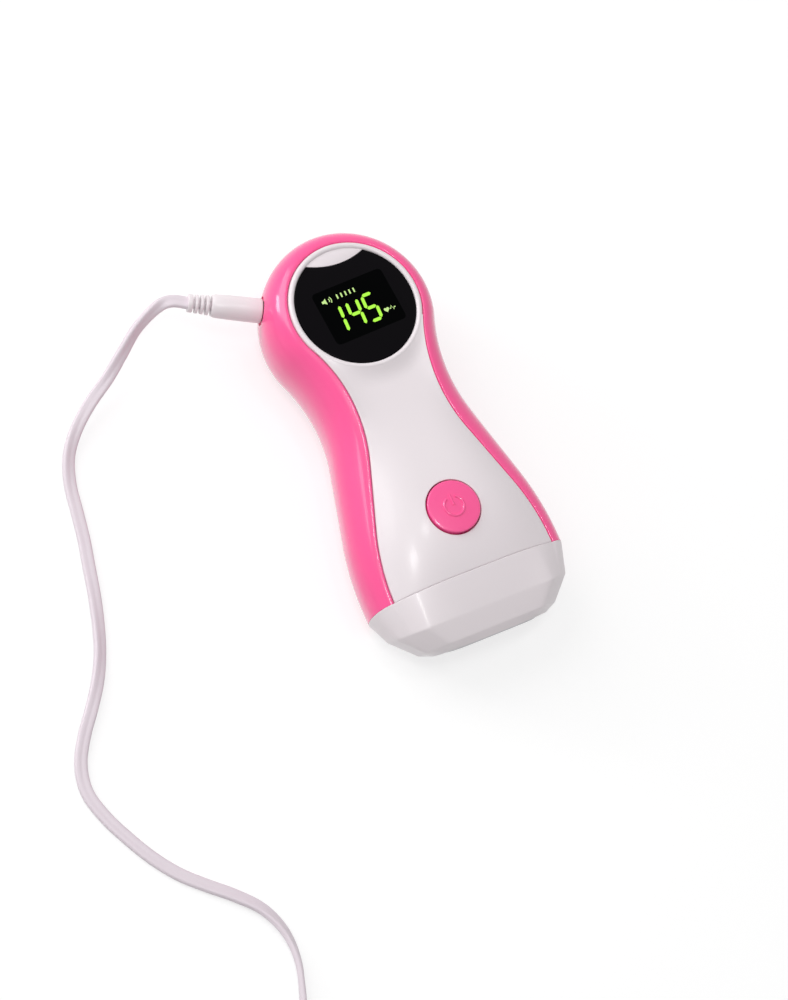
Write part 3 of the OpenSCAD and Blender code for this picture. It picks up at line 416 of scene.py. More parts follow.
def coil_point(turn):
    """The coil winds in on the lower layer and out again on the upper one."""
    angle = math.radians(COIL_START + 360 * turn)
    radius = COIL_OUTER - COIL_PITCH * (TURNS / 2 - abs(turn - TURNS / 2))
    past = turn - TURNS / 2
    rise = 0 if past < -0.25 else 1 if past > 0.25 else (1 + math.sin(math.tau * past)) / 2
    return Vector((COIL_CENTRE[0] + radius * math.cos(angle),
                   COIL_CENTRE[1] + radius * math.sin(angle), COIL_LOW + LAYER_RISE * rise))


def coil_heading(turn):
    angle = math.radians(COIL_START + 360 * turn)
    return Vector((-math.sin(angle), math.cos(angle), 0))


TAIL = ((4, 0.3), (8, 1.2), (12, 2.3), (16, 2.85), (16 + CORD_WIDTH, 2.85))
knots = [(cord_exit, 0), (cord_exit + plug_out * 5, 0)]
knots += [(Vector(p[:3]), p[3]) for p in ROUTE]
knots += [(coil_point(0) - coil_heading(0) * CORD_WIDTH, 90)]
knots += [(coil_point(i / STEPS_PER_TURN), 90) for i in range(int(TURNS * STEPS_PER_TURN) + 1)]
tail_start, tail_heading = coil_point(TURNS), coil_heading(TURNS)
knots += [(tail_start + tail_heading * run - Vector((0, 0, fall)), 90) for run, fall in TAIL]
print("lead has", len(knots), "knots")

# %% [markdown]
# A Catmull-Rom curve goes through every knot and turns softly between them. The cord's section is
# a flat jacket over two wires, with round edges and the fine groove along its middle that the
# photograph shows. It is carried along the curve, turned by each knot's own roll.
# %% Sweep the twin jacket along the route
SPLITS = 5


def between(a, b, c, d, t):
    """Catmull-Rom value between b and c."""
    return 0.5 * (2 * b + (c - a) * t + (2 * a - 5 * b + 4 * c - d) * t ** 2
                  + (3 * b - a - 3 * c + d) * t ** 3)


route = []
for i in range(len(knots) - 1):
    around = [knots[min(max(i + shift, 0), len(knots) - 1)] for shift in (-1, 0, 1, 2)]
    splits = SPLITS if i <= len(ROUTE) + 1 else 2
    route += [(between(*[k[0] for k in around], n / splits),
               between(*[k[1] for k in around], n / splits)) for n in range(splits)]
route.append(knots[-1])
groove = [(0.35, CORD_THICK / 2), (0, CORD_THICK / 2 - 0.09), (-0.35, CORD_THICK / 2)]
edges = rounded_rectangle(CORD_WIDTH, CORD_THICK, 0.75, 5)
section = (edges[:6] + groove + edges[6:18] + [(-x, -y) for x, y in groove] + edges[18:]
           + [edges[0]])


def swept(route, section):
    """The section at each point of the route, square to it and turned by its roll."""
    loops = []
    for i, (point, roll) in enumerate(route):
        along = (route[min(i + 1, len(route) - 1)][0] - route[max(i - 1, 0)][0]).normalized()
        level = along.cross(Vector((0, 0, 1))).normalized()
        upright = level.cross(along)
        turn = math.radians(roll)
        wide = level * math.cos(turn) + upright * math.sin(turn)
        thin = upright * math.cos(turn) - level * math.sin(turn)
        loops.append([point + wide * x + thin * y for x, y in section])
    return loops


bm = bmesh.new()
skin(bm, swept(route, section), closed=True)
fill_ends(bm)
lead = finished(bm, "audio_lead", "cord_jacket", "lead", ["lead_cord", "lead_coil"])
route_length = sum((b[0] - a[0]).length for a, b in zip(route, route[1:])) * MM
print("lead length", round(route_length, 3), "m")

# %% [markdown]
# ## The plugs
# Each end of the lead has a moulded 3.5 mm plug: a plain barrel, then a strain relief of square
# ribs parted by deep narrow slots, and a collar, so that it can bend. It is a turned shape, so
# one profile is spun twice.
# %% Turn the two plug barrels
PLUG_RADIUS = 3.7
FACE_EASE = 0.45
SHAFT_RADIUS = 1.75
RIB_COUNT = 4
RIB_PITCH = 1.6
RIB_EASE = 0.18
SLOT_RADIUS = 1.3


def barrel_profile():
    profile = [(0, 0), (SHAFT_RADIUS, 0), (PLUG_RADIUS - FACE_EASE, 0)]
    profile += arc((PLUG_RADIUS - FACE_EASE, FACE_EASE), FACE_EASE, -90, 0, 4)[1:]
    profile += [(PLUG_RADIUS, 5), (3.64, 10), (3.5, BARREL - 1.2), (3.3, BARREL - 0.5)]
    profile += arc((2.95, BARREL - 0.25), 0.25, 20, 90, 3)
    for i in range(RIB_COUNT):
        start = BARREL + 0.05 + RIB_PITCH * i
        crest = 3.0 - 0.09 * i
        width = RIB_PITCH if i < RIB_COUNT - 1 else BARREL + RELIEF - start
        profile += [(SLOT_RADIUS, start + 0.02), (SLOT_RADIUS, start + 0.66)]
        profile += arc((crest - RIB_EASE, start + 0.86), RIB_EASE, -90, 0, 3)
        profile += arc((crest - 0.2, start + width - RIB_EASE), RIB_EASE, 0, 90, 3)
    profile += [(1.5, BARREL + RELIEF), (0, BARREL + RELIEF)]
    return profile


def plug_place(origin, outward):
    """Turns a profile's height axis to point away from the plug's face."""
    return Matrix.Translation(origin) @ outward.to_track_quat("Z", "Y").to_matrix().to_4x4()


near_place = plug_place(jack_place + plug_out * PLUG_FACE, plug_out)
far_face = knots[-1][0] + tail_heading * (BARREL + RELIEF)
far_place = plug_place(far_face, -tail_heading)
for name, place, node in (("plug", near_place, "plug_barrel"),
                          ("far_plug", far_place, "far_plug_barrel")):
    bm = bmesh.new()
    lathe(bm, barrel_profile(), 64, place)
    finished(bm, name, "white_plastic", "lead", [node])

# %% [markdown]
# The metal of a 3.5 mm plug is three contacts parted by two thin black rings, with a waist behind
# the tip that the socket's spring snaps into.
# %% Turn the two metal shafts
RINGS = (6.4, 9.4)
RING_WIDTH = 0.65
for name, place, node in (("shaft", near_place, "plug_shaft"),
                          ("far_shaft", far_place, "far_plug_shaft")):
    bm = bmesh.new()
    profile = [(0, 0.45), (SHAFT_RADIUS, 0.45)]
    for ring in RINGS:
        profile += [(SHAFT_RADIUS, -ring), (SHAFT_RADIUS, -ring - RING_WIDTH)]
    profile += [(SHAFT_RADIUS, -10.3), (1.4, -10.9), (1.22, -11.3), (1.3, -11.8), (1.66, -12.5),
                (1.6, -12.8), (1.1, -13.4), (0.5, -13.9), (0, -14)]
    lathe(bm, profile, 48, place)
    shaft = finished(bm, name, "bright_metal", "lead", [node])
    shaft.data.materials.append(finishes["black_plastic"])
    inward = place.inverted()
    for face in shaft.data.polygons:
        height = -(inward @ (face.center / MM)).z
        face.material_index = int(any(ring < height < ring + RING_WIDTH for ring in RINGS))

# %% [markdown]
# A soft band ties the stored turns together. It is a rounded strap round the bundle, so its
# section is swept round a loop with eased corners.
# %% Wrap the coil's tie
TIE_ANGLE = math.radians(340)
TIE_WIDTH = 6
tie_low, tie_high = COIL_LOW - CORD_WIDTH / 2 - 0.3, COIL_LOW + LAYER_RISE + CORD_WIDTH / 2 + 0.3
tie_in = COIL_OUTER - COIL_PITCH * TURNS / 2 - CORD_THICK / 2 - 0.3
tie_out = COIL_OUTER + CORD_THICK / 2 + 0.35
corner = 1.2
loop = [point for cx, cz, start in (
    (tie_out - corner, tie_high - corner, 0), (tie_in + corner, tie_high - corner, 90),
    (tie_in + corner, tie_low + corner, 180), (tie_out - corner, tie_low + corner, 270))
    for point in arc((cx, cz), corner, start, start + 90, 5)]
loop.append(loop[0])
middle = Vector(((tie_in + tie_out) / 2, 0, (tie_low + tie_high) / 2))
strap = ((-TIE_WIDTH / 2, 0), (-TIE_WIDTH / 2, 0.2), (0, 0.24), (TIE_WIDTH / 2, 0.2),
         (TIE_WIDTH / 2, 0), (0, -0.02), (-TIE_WIDTH / 2, 0))
paths = []
for x, z in loop:
    spot = Vector((x, 0, z))
    outward = (spot - middle).normalized()
    paths.append([spot + outward * rise + Vector((0, side, 0)) for side, rise in strap])
bm = bmesh.new()
skin(bm, paths, closed=True)
put(bm, Matrix.Translation((*COIL_CENTRE, 0)) @ Matrix.Rotation(TIE_ANGLE, 4, "Z"))
tie = finished(bm, "coil_tie_band", "black_plastic", "lead", ["coil_tie"])

# %% [markdown]
# The lead's route in metres, the path that the cord follows. Both plugs and the tie are carried on
# the lead's body with it.
[tuple(p * MM) for p, roll in route]

# %% [markdown]
# ## The monitor's outline
# Seen from the front, both mouldings share one kind of outline: a round head, a hollow neck and a
# base that flares and straightens. Each is an arc, a straight line and an arc, given as numbers,
# and the shells below are stretched over it.
# %% Work out the outline
PARTING = 86.3
WALL = 2.0
PINK_LINE = (26.5, 21.3, 27, 15, 61.5, 31.8)
WHITE_LINE = (20.5, 13.6, 30, 19, 65, 26.5)


def neck_radius(line):
    head, neck, drop = line[:3]
    return (neck * neck + drop * drop - head * head) / (2 * (head - neck))


def join_angle(line):
    return math.degrees(math.atan2(line[2], line[1] + neck_radius(line)))


def half_width(line, drop):
    """Half width of an outline at a distance below the lens centre."""
    head, neck, neck_drop, flare, bend_drop, base = line
    slope = math.radians(flare)
    hollow = neck_radius(line)
    flare_drop = neck_drop + hollow * math.sin(slope)
    flare_x = neck + hollow * (1 - math.cos(slope))
    bend_x = flare_x + (bend_drop - flare_drop) * math.tan(slope)
    bend_r = (base - bend_x) / (1 - math.cos(slope))
    end_drop = bend_drop + bend_r * math.sin(slope)
    if drop < flare_drop:
        return neck + hollow - math.sqrt(hollow ** 2 - (drop - neck_drop) ** 2)
    if drop < bend_drop:
        return flare_x + (drop - flare_drop) * math.tan(slope)
    return (bend_x + math.sqrt(bend_r ** 2 - (end_drop - min(drop, end_drop)) ** 2)
            - bend_r * math.cos(slope))


def inset(line, depth):
    return (line[0] - depth, line[1] - depth, *line[2:5], line[5] - depth)


def outline_point(line, share):
    """Right side of an outline: 0 is the crown, 1 the neck's start, 2 the parting line."""
    join = join_angle(line)
    if share <= 1:
        angle = math.radians(90 - (90 + join) * share)
        return Vector((line[0] * math.cos(angle), HEAD_Y + line[0] * math.sin(angle), 0))
    first = line[0] * math.sin(math.radians(join))
    drop = first + (PARTING - first) * (share - 1)
    return Vector((half_width(line, drop), HEAD_Y - drop, 0))


EDGE_SLOPE = 0.108
BELT_DEPTH, BELT_SLOPE = 11.3, 0.055
NECK_DIP = 1.4


def edge_z(drop):
    """Height of the white cover's edge."""
    fall = 0 if drop < 14 else (drop - 14) ** 2 / 24 if drop < 26 else drop - 20
    return LENS_Z - EDGE_SLOPE * fall


def belt_z(drop):
    """Height of the body's widest line."""
    return LENS_Z - BELT_DEPTH - BELT_SLOPE * drop


def middle_z(drop):
    """Height of the cover along its middle: it dips at the neck and swells under the button."""
    if drop < 30:
        return LENS_Z - NECK_DIP
    if drop < 64:
        return LENS_Z - NECK_DIP + 0.9 * (1 - math.cos(math.pi * (drop - 30) / 34))
    return LENS_Z + 0.4 - 3.2 * ((drop - 64) / (PARTING - 64)) ** 2.2


FILLET_START = 19.93
FILLET_WIDTH = 5.9
FILLET_TOP = 0.37
CROWN_POWER = 3.2


def front_z(x, drop):
    """Height of the white cover: a crown across it, and a fillet that flows up into the ring."""
    side = min(1, abs(x) / half_width(WHITE_LINE, drop))
    plain = middle_z(drop) + (edge_z(drop) - middle_z(drop)) * side ** CROWN_POWER
    away = (math.hypot(x, drop) - FILLET_START) / FILLET_WIDTH
    climb = 0 if away >= 1 else 1 if away <= 0 else (1 - away) ** 2
    return plain + (LENS_Z + FILLET_TOP - plain) * climb


print("neck is", round(2 * half_width(PINK_LINE, PINK_LINE[2]), 1), "mm wide")

# %% [markdown]
# ## The pink back shell
# The shell starts in a thin groove beside the white cover, turns over a small round ridge, swells
# to its widest line and curls under to a flat back. Each station round the body is one such path,
# out over the skin and back along the inner wall, so the shell is a real wall. Holes are cut
# afterwards.
# %% Stretch the pink shell
RIM_ROUND = 0.55
GROOVE_DEPTH = 1.6
FLOOR_INSET = 8
HEAD_STATIONS = 44
FLANK_STATIONS = 66
UPPER, LOWER = 18, 12


def quarter(start, stop, low, high, first, steps):
    """A quarter ellipse in the wall's plane, from the angle first up to 90 degrees."""
    turn = [first + (math.pi / 2 - first) * i / steps for i in range(steps + 1)]
    return [start + (stop - start) * math.sin(a) + Vector((0, 0, low + (high - low) * math.cos(a)))
            for a in turn]


def shell_path(share, depth):
    """Outer skin at depth 0, or the inner wall at a given depth, from the rim to the back."""
    rim = outline_point(WHITE_LINE, share)
    belt = outline_point(inset(PINK_LINE, depth), share)
    foot = outline_point(inset(PINK_LINE, FLOOR_INSET + depth / 2), share)
    top = edge_z(HEAD_Y - rim.y) - (0 if depth == 0 else 2.2)
    middle = belt_z(HEAD_Y - belt.y)
    outward = (belt - rim).normalized()
    first = math.asin(RIM_ROUND / (belt - rim).length)
    upper = quarter(rim, belt, middle, top, first, UPPER)
    ease = [rim + outward * RIM_ROUND * (1 - math.cos(a))
            + Vector((0, 0, upper[0].z - RIM_ROUND * (1 - math.sin(a))))
            for a in (math.pi / 2 * i / 4 for i in range(4))]
    lower = [foot + (belt - foot) * math.cos(a)
             + Vector((0, 0, middle + (depth - middle) * math.sin(a)))
             for a in (math.pi / 2 * i / LOWER for i in range(1, LOWER + 1))]
    return [ease[0] - Vector((0, 0, GROOVE_DEPTH - RIM_ROUND))] + ease + upper + lower


def mirrored(path):
    return [Vector((-p.x, p.y, p.z)) for p in path]


shares = [i / HEAD_STATIONS for i in range(HEAD_STATIONS)]
shares += [1 + i / FLANK_STATIONS for i in range(FLANK_STATIONS + 1)]
bm = bmesh.new()
for depth in (0, WALL):
    right = [shell_path(share, depth) for share in shares]
    before = set(bm.edges)
    skin(bm, [mirrored(path) for path in right[:0:-1]] + right)
    foot_edges = [e for e in bm.edges if e not in before and e.is_boundary
                  and all(abs(v.co.z - depth) < SAME_PLACE for v in e.verts)]
    ends = sorted((v for v in {v for e in foot_edges for v in e.verts}
                   if abs(v.co.y - (HEAD_Y - PARTING)) < SAME_PLACE), key=lambda v: v.co.x)
    bmesh.ops.contextual_create(bm, geom=foot_edges + [bm.edges.new((ends[0], ends[-1]))])
bmesh.ops.bridge_loops(bm, edges=[e for e in bm.edges if e.is_boundary])
shell = finished(bm, "back_shell", "pink_plastic", "housing", ["rear_shell"])

# %% [markdown]
# The shell's holes are volumes taken away: the socket for the plug, the slot for the volume
# rocker, the opening for the battery door, and the wells of the four screws in the back.
# %% Cut the shell's holes
SOCKET_RADIUS = 4.4
DOOR_HALF = 12.4
HINGE_Y = 6.05
DOOR_END_Y = -44.35
ROCKER_TURN = math.radians(4)
ROCKER_Z = 17.7
rocker_place = Matrix.Translation((0, HEAD_Y, ROCKER_Z)) @ Matrix.Rotation(ROCKER_TURN, 4, "Z")
SCREW_PLACES = [(9, 28.2), (-9, 28.2), (19.5, 79), (-19.5, 79)]


def block(bm, low, high, place=Matrix()):
    """A plain box between two corners, used only to cut with."""
    made = bmesh.ops.create_cube(bm, size=1)["verts"]
    size = [b - a for a, b in zip(low, high)]
    middle = [(a + b) / 2 for a, b in zip(low, high)]
    bmesh.ops.scale(bm, vec=size, verts=made)
    bmesh.ops.translate(bm, vec=middle, verts=made)
    bmesh.ops.transform(bm, matrix=place, verts=made)


bm = bmesh.new()
lathe(bm, [(0, 20), (3.1, 20), (3.1, 25.7), (SOCKET_RADIUS, 25.7), (SOCKET_RADIUS, 30), (0, 30)],
      64, plug_place(jack_place, plug_out))
block(bm, (21.2, -7.5, -2.8), (30, 7.5, 2.8), rocker_place)
block(bm, (-DOOR_HALF - 0.2, DOOR_END_Y - 0.2, -1), (DOOR_HALF + 0.2, HINGE_Y + 1.25, WALL + 0.5))
for x, drop in SCREW_PLACES:
    lathe(bm, [(0, -1), (2.9, -1), (2.9, WALL + 1), (0, WALL + 1)], 40,
          Matrix.Translation((x, HEAD_Y - drop, 0)))
cut(shell, bm)

# %% [markdown]
# Inside, the screws and the board stand on hollow posts. They are moulded in one with the shell,
# so they have its finish. Each is a short tube, spun from its wall's section.
# %% Stand the posts in the shell
BOARD_POSTS = [(8, -14.6), (-8, 15.2), (16.2, 44), (-16.2, 44)]
bm = bmesh.new()
for places, outer, inner, low, high in ((SCREW_PLACES, 3.7, 2.9, WALL, 7),
                                        (SCREW_PLACES, 3.7, 1.5, 7, 16.9),
                                        (BOARD_POSTS, 2.3, 0.9, WALL, 15.1)):
    for x, drop in places:
        lathe(bm, [(inner, low), (outer, low), (outer, high), (inner, high), (inner, low)], 32,
              Matrix.Translation((x, HEAD_Y - drop, 0)))
finished(bm, "shell_posts", "pink_plastic", "housing", ["rear_shell"])

# %% [markdown]
# ## The white front cover
# The cover is a crowned plate between the ring and the cap. Each row across it is a closed path:
# over the top with a small round edge at each side, down the edge, and back underneath. The first
# row is pinched shut inside the ring's wall, where no eye reaches.
# %% Stretch the white cover
FIT_GAP = 0.12
COVER_ROWS = 110
COVER_COLUMNS = 64
EDGE_ROUND = 0.3
PLATE_ARC = WHITE_LINE[0] - 0.8
plate_join = math.radians(join_angle(WHITE_LINE))


def plate_point(i, c):
    """A point of the plate: i counts rows from the ring to the cap, c runs from -1 to 1 across."""
    low = PLATE_ARC * math.sin(plate_join)
    if i == 0:
        side = Vector((PLATE_ARC * math.cos(plate_join), HEAD_Y - low, 0))
    else:
        side = outline_point(WHITE_LINE, 1 + i / COVER_ROWS) - Vector((FIT_GAP, 0, 0))
    x = PLATE_ARC * math.cos(plate_join) * c
    bow = (math.sqrt(PLATE_ARC ** 2 - x ** 2) - low) / (PLATE_ARC - low)
    side_drop = HEAD_Y - side.y
    drop = side_drop + (PLATE_ARC + (PARTING - PLATE_ARC) * i / COVER_ROWS - side_drop) * bow
    return Vector((side.x * c, HEAD_Y - drop, front_z(side.x * c, drop)))


def cover_row(i, pinch=False, lowered=0.0):
    down = Vector((0, 0, WALL - lowered))
    top = [plate_point(i, 2 * n / COVER_COLUMNS - 1) - Vector((0, 0, lowered))
           for n in range(COVER_COLUMNS + 1)]
    if pinch:
        top = [p - down / 2 for p in top]
        down *= 0
    under = [p - down for p in reversed(top)]
    ease = [0 if pinch else EDGE_ROUND]
    left = rounded([top[0] - down, top[0], top[1]], ease)[1:-1]
    right = rounded([top[-2], top[-1], top[-1] - down], ease)[1:-1]
    return left + top[1:-1] + right + under + [left[0]]


row_length = (PARTING - PLATE_ARC) / COVER_ROWS
last_rows = [cover_row(COVER_ROWS - EDGE_ROUND * (1 - math.sin(a)) / row_length,
                       lowered=EDGE_ROUND * (1 - math.cos(a)))
             for a in (math.pi / 2 * k / 4 for k in range(5))]
bm = bmesh.new()
skin(bm, [cover_row(0, pinch=True)] + [cover_row(i) for i in range(COVER_ROWS)] + last_rows,
     closed=True)
fill_ends(bm)
cover = finished(bm, "front_plate", "white_plastic", "housing", ["front_cover"])

# %% [markdown]
# The hole for the power button has a soft lip. The cutter is a flared plug whose flare follows
# the crowned plate all the way round, so the lip has one width.
# %% Cut the button's hole
BUTTON_DROP = 67.6
BUTTON_RADIUS = 8.0
button_place = Matrix.Translation((0, HEAD_Y - BUTTON_DROP, 0))
button_gap = BUTTON_RADIUS + 0.42
lip = 0.16
HOLE_SIDES = 96
bm = bmesh.new()
paths = []
for n in range(HOLE_SIDES + 1):
    angle = math.tau * n / HOLE_SIDES
    way = Vector((math.cos(angle), math.sin(angle), 0))
    rim = way * (button_gap + lip)
    surface = front_z(rim.x, BUTTON_DROP - rim.y)
    profile = [(0.01, 20), (button_gap, 20), (button_gap, surface - lip)]
    profile += [(button_gap + lip - lip * math.cos(a), surface - lip + lip * math.sin(a))
                for a in (math.pi / 2 * k / 4 for k in range(1, 5))]
    profile += [(button_gap + lip + 0.3, surface + 0.02), (button_gap + lip + 0.3, 36), (0.01, 36)]
    paths.append([way * radius + Vector((0, HEAD_Y - BUTTON_DROP, z)) for radius, z in profile])
skin(bm, paths)
bmesh.ops.remove_doubles(bm, verts=bm.verts, dist=0.005)
fill_ends(bm)
cut(cover, bm)

# %% [markdown]
# A raised bead runs round the lens, with a ledge inside that carries it. It is turned from one
# profile.
# %% Turn the ring round the lens
RING_OUTER = WHITE_LINE[0] - FIT_GAP
BEAD = 0.92
LEDGE = 16.9
LENS_RADIUS = 18.45
crest = RING_OUTER - BEAD
profile = [(LEDGE, -3.4), (RING_OUTER, -3.4)]
profile += arc((crest, 0.5 - BEAD), BEAD, 0, 180, 14)
profile += [(LENS_RADIUS + 0.15, -1.6), (LEDGE, -1.6), (LEDGE, -3.4)]
bm = bmesh.new()
lens_place = Matrix.Translation((0, HEAD_Y, LENS_Z))
lathe(bm, profile, 128, lens_place)
finished(bm, "lens_ring", "white_plastic", "housing", ["front_cover"])

# %% [markdown]
# ## The lens and the crescent
# Two circles give both outlines: the black lens is the round less a bite, and the pale crescent
# fills the bite. Each is a slab drawn up from its outline, and its top edge is eased by a bevel.
# %% Cut the lens and the crescent from two circles
BITE_RADIUS = 23.25
BITE_Y = 37.3
bite_place = lens_place @ Matrix.Rotation(math.radians(-1.2), 4, "Z")


def round_part(radius, bite, side, steps):
    """Outline of the round less the bite (side 1), or of what the bite takes from it (-1)."""
    reach = (radius ** 2 + BITE_Y ** 2 - bite ** 2) / (2 * radius * BITE_Y)
    horn = side * math.degrees(math.acos(reach))
    spread = math.degrees(math.asin(radius * math.sin(math.radians(horn)) / bite))
    outer = arc((0, 0), radius, 90 + horn, (450 if side > 0 else 90) - horn, steps)
    return outer + arc((0, BITE_Y), bite, 270 + spread, 270 - spread, 24)[1:-1]


bm = bmesh.new()
slab(bm, round_part(LENS_RADIUS, BITE_RADIUS + 0.12, 1, 96), -1.58, 0, bevel=0.22, segments=3)
put(bm, bite_place)
finished(bm, "black_lens", "lens", "housing", ["display_lens"])
bm = bmesh.new()
slab(bm, round_part(LENS_RADIUS + 0.1, BITE_RADIUS, -1, 24), -3.2, -0.12, bevel=0.12)
put(bm, bite_place)
finished(bm, "crescent", "white_plastic", "housing", ["front_cover"])

# %% [markdown]
# ## The lit display
# The window is a blacker rounded rectangle in the lens, and it sits a few degrees askew there, as
# in the photograph. The number is drawn in slanted seven-segment bars that glow yellow-green.
# Each bar is a thin slab that stands just proud of the window, so it needs no picture and stays
# sharp up close.
# %% Draw the display's marks
WINDOW = (23.9, 17.4, 1.4)
WINDOW_MIDDLE = (0.71, -0.8)
display_place = lens_place @ Matrix.Rotation(math.radians(3.3), 4, "Z")
for slot, bright, dim in (("lit_segment", (184, 255, 60), (164, 250, 44)),
                          ("pale_segment", (204, 240, 150), (188, 228, 130))):
    glow = Finish(slot, colour(10, 20, 4), 0.5, Emission_Strength=1.0)
    glow.feed(glow.shader.inputs["Emission Color"],
              glow.mix(glow.noise(1.5), colour(*bright), colour(*dim)))
bm = bmesh.new()
slab(bm, rounded_rectangle(*WINDOW), -0.1, 0.02)
put(bm, display_place @ Matrix.Translation((*WINDOW_MIDDLE, 0)))
finished(bm, "display_window", "display_glass", "housing")

DIGIT_HEIGHT = 8.35
DIGIT_BASE = -6.6
DIGIT_WIDTH = 3.35
STROKE = 1.0
JOINT_GAP = 0.14
SLANT = 0.09
SEGMENTS = {"a": (0, 2, 1, 2), "b": (1, 1, 1, 2), "c": (1, 0, 1, 1), "d": (0, 0, 1, 0),
            "e": (0, 0, 0, 1), "f": (0, 1, 0, 2), "g": (0, 1, 1, 1)}
DIGITS = {"1": "bc", "4": "bcfg", "5": "acdfg"}


def segment(x0, y0, x1, y1):
    """A six-sided bar between two joints of a digit, short of both."""
    start, stop = Vector((x0, y0)), Vector((x1, y1))
    along = (stop - start).normalized()
    side = Vector((-along.y, along.x)) * STROKE / 2
    start, stop = start + along * JOINT_GAP, stop - along * JOINT_GAP
    near, far = start + along * STROKE / 2, stop - along * STROKE / 2
    return [start, near - side, far - side, stop, far + side, near + side]


MARK_LOW, MARK_HIGH = 0.03, 0.07
bm = bmesh.new()
for digit, left in (("1", -8.71), ("4", -2.82), ("5", 2.5)):
    for name in DIGITS[digit]:
        c0, r0, c1, r1 = SEGMENTS[name]
        bar = segment(left + c0 * DIGIT_WIDTH, DIGIT_BASE + r0 * DIGIT_HEIGHT / 2,
                      left + c1 * DIGIT_WIDTH, DIGIT_BASE + r1 * DIGIT_HEIGHT / 2)
        slab(bm, [(p.x + SLANT * (p.y + 2.3), p.y) for p in bar], MARK_LOW, MARK_HIGH)
put(bm, display_place)
digits = finished(bm, "display_digits", "lit_segment", "housing")

# %% [markdown]
# A speaker, a bar scale, a heart and a pulse line stand round the number. They are thin slabs
# too, cut from short outlines, in a paler glow.
# %% Draw the small marks
bm = bmesh.new()
for i in range(5):
    x = -4.2 + 1.42 * i
    slab(bm, ((x, 3.85), (x + 0.45, 3.85), (x + 0.52, 5.25), (x + 0.07, 5.25)), MARK_LOW, MARK_HIGH)
speaker = ((-9.2, 4.0), (-8.6, 4.0), (-7.8, 3.4), (-7.8, 5.4), (-8.6, 4.8), (-9.2, 4.8))
slab(bm, speaker, MARK_LOW, MARK_HIGH)
for radius in (0.9, 1.55):
    slab(bm, arc((-7.5, 4.4), radius, -40, 40, 8) + arc((-7.5, 4.4), radius - 0.26, 40, -40, 8),
         MARK_LOW, MARK_HIGH)
heart = [(0.85 * math.sin(a) ** 3, 0.7 * math.cos(a) - 0.27 * math.cos(2 * a)
          - 0.11 * math.cos(3 * a) - 0.05 * math.cos(4 * a))
         for a in (math.tau * i / 28 for i in range(28))]
slab(bm, [(8.0 + x, -4.95 + y) for x, y in heart], MARK_LOW, MARK_HIGH)
beat = ((9.0, 0), (9.45, 0), (9.8, 0.75), (10.2, -0.6), (10.5, 0), (11.0, 0))
low_side = [(x, -5.15 + y) for x, y in beat]
slab(bm, low_side + [(x, y + 0.3) for x, y in reversed(low_side)], MARK_LOW, MARK_HIGH)
put(bm, display_place)
small_marks = finished(bm, "display_marks", "pale_segment", "housing")

# %% [markdown]
# ## The power button
# The button is a low dome with an eased rim and a raised standby sign. It is turned, and the sign
# is an open ring and a bar that follow the dome's curve.
# %% Turn the power button
BUTTON_Z = LENS_Z + 0.75
DOME = 0.3
BUTTON_EASE = 0.4
FLANGE_Z = LENS_Z - 3.3
FLANGE_RADIUS = BUTTON_RADIUS + 1.3
sphere = (BUTTON_RADIUS ** 2 + DOME ** 2) / (2 * DOME)


def dome_z(radius):
    return BUTTON_Z + math.sqrt(sphere ** 2 - radius ** 2) - sphere + DOME


profile = [(0, FLANGE_Z - 0.9), (FLANGE_RADIUS, FLANGE_Z - 0.9), (FLANGE_RADIUS, FLANGE_Z),
           (BUTTON_RADIUS, FLANGE_Z), (BUTTON_RADIUS, BUTTON_Z - BUTTON_EASE)]
profile += arc((BUTTON_RADIUS - BUTTON_EASE, BUTTON_Z - 0.37), BUTTON_EASE, 0, 84, 6)[1:]
profile += [(radius, dome_z(radius)) for radius in (7, 6, 5, 4, 3, 2, 1, 0)]
bm = bmesh.new()
lathe(bm, profile, 96, button_place)
finished(bm, "button", "pink_plastic", "button", ["power_button"])

SIGN_RADIUS = 3.0
SIGN_RISE = 0.34
SIGN_OPENING = 28
SIGN_STEPS = 48


def sign_path(centre, side):
    """A low rounded rib's section at a point of the sign."""
    return [Vector((*(centre + side * reach), dome_z((centre + side * reach).length) + rise))
            for reach, rise in ((-0.46, -0.1), (-0.4, 0.06), (-0.27, 0.26), (-0.12, SIGN_RISE),
                                (0.12, SIGN_RISE), (0.27, 0.26), (0.4, 0.06), (0.46, -0.1))]


bm = bmesh.new()
ring_paths = []
for i in range(SIGN_STEPS + 1):
    angle = math.radians(90 + SIGN_OPENING + (360 - 2 * SIGN_OPENING) * i / SIGN_STEPS)
    way = Vector((math.cos(angle), math.sin(angle)))
    ring_paths.append(sign_path(way * SIGN_RADIUS, way))
bar_paths = [sign_path(Vector((0, 0.3 + 3.3 * i / 8)), Vector((1, 0))) for i in range(9)]
for paths in (ring_paths, bar_paths):
    skin(bm, [path + [path[0]] for path in paths], closed=True)
fill_ends(bm)
put(bm, button_place)
finished(bm, "standby_sign", "pink_plastic", "button", ["power_button"])

# %% [markdown]
# ## The probe cap
# The cap carries on from the body's section at the parting line and turns it into an octagon with
# crisp but eased facets, which fold in to the tilted probe face. The section is the same path of
# points in every ring, so each facet edge runs true. The octagon's corners are eased by a soft
# minimum, and the folds by rounding each point's own path from ring to ring.
# %% Stretch the probe cap
CAP_SIDES = 40
SOFTNESS = 40
SECTION_Z = middle_z(PARTING) / 2
BASE_HALF = PINK_LINE[5]
CORNER_NORMAL = math.radians(27.3)
CORNER_REACH = 1.1


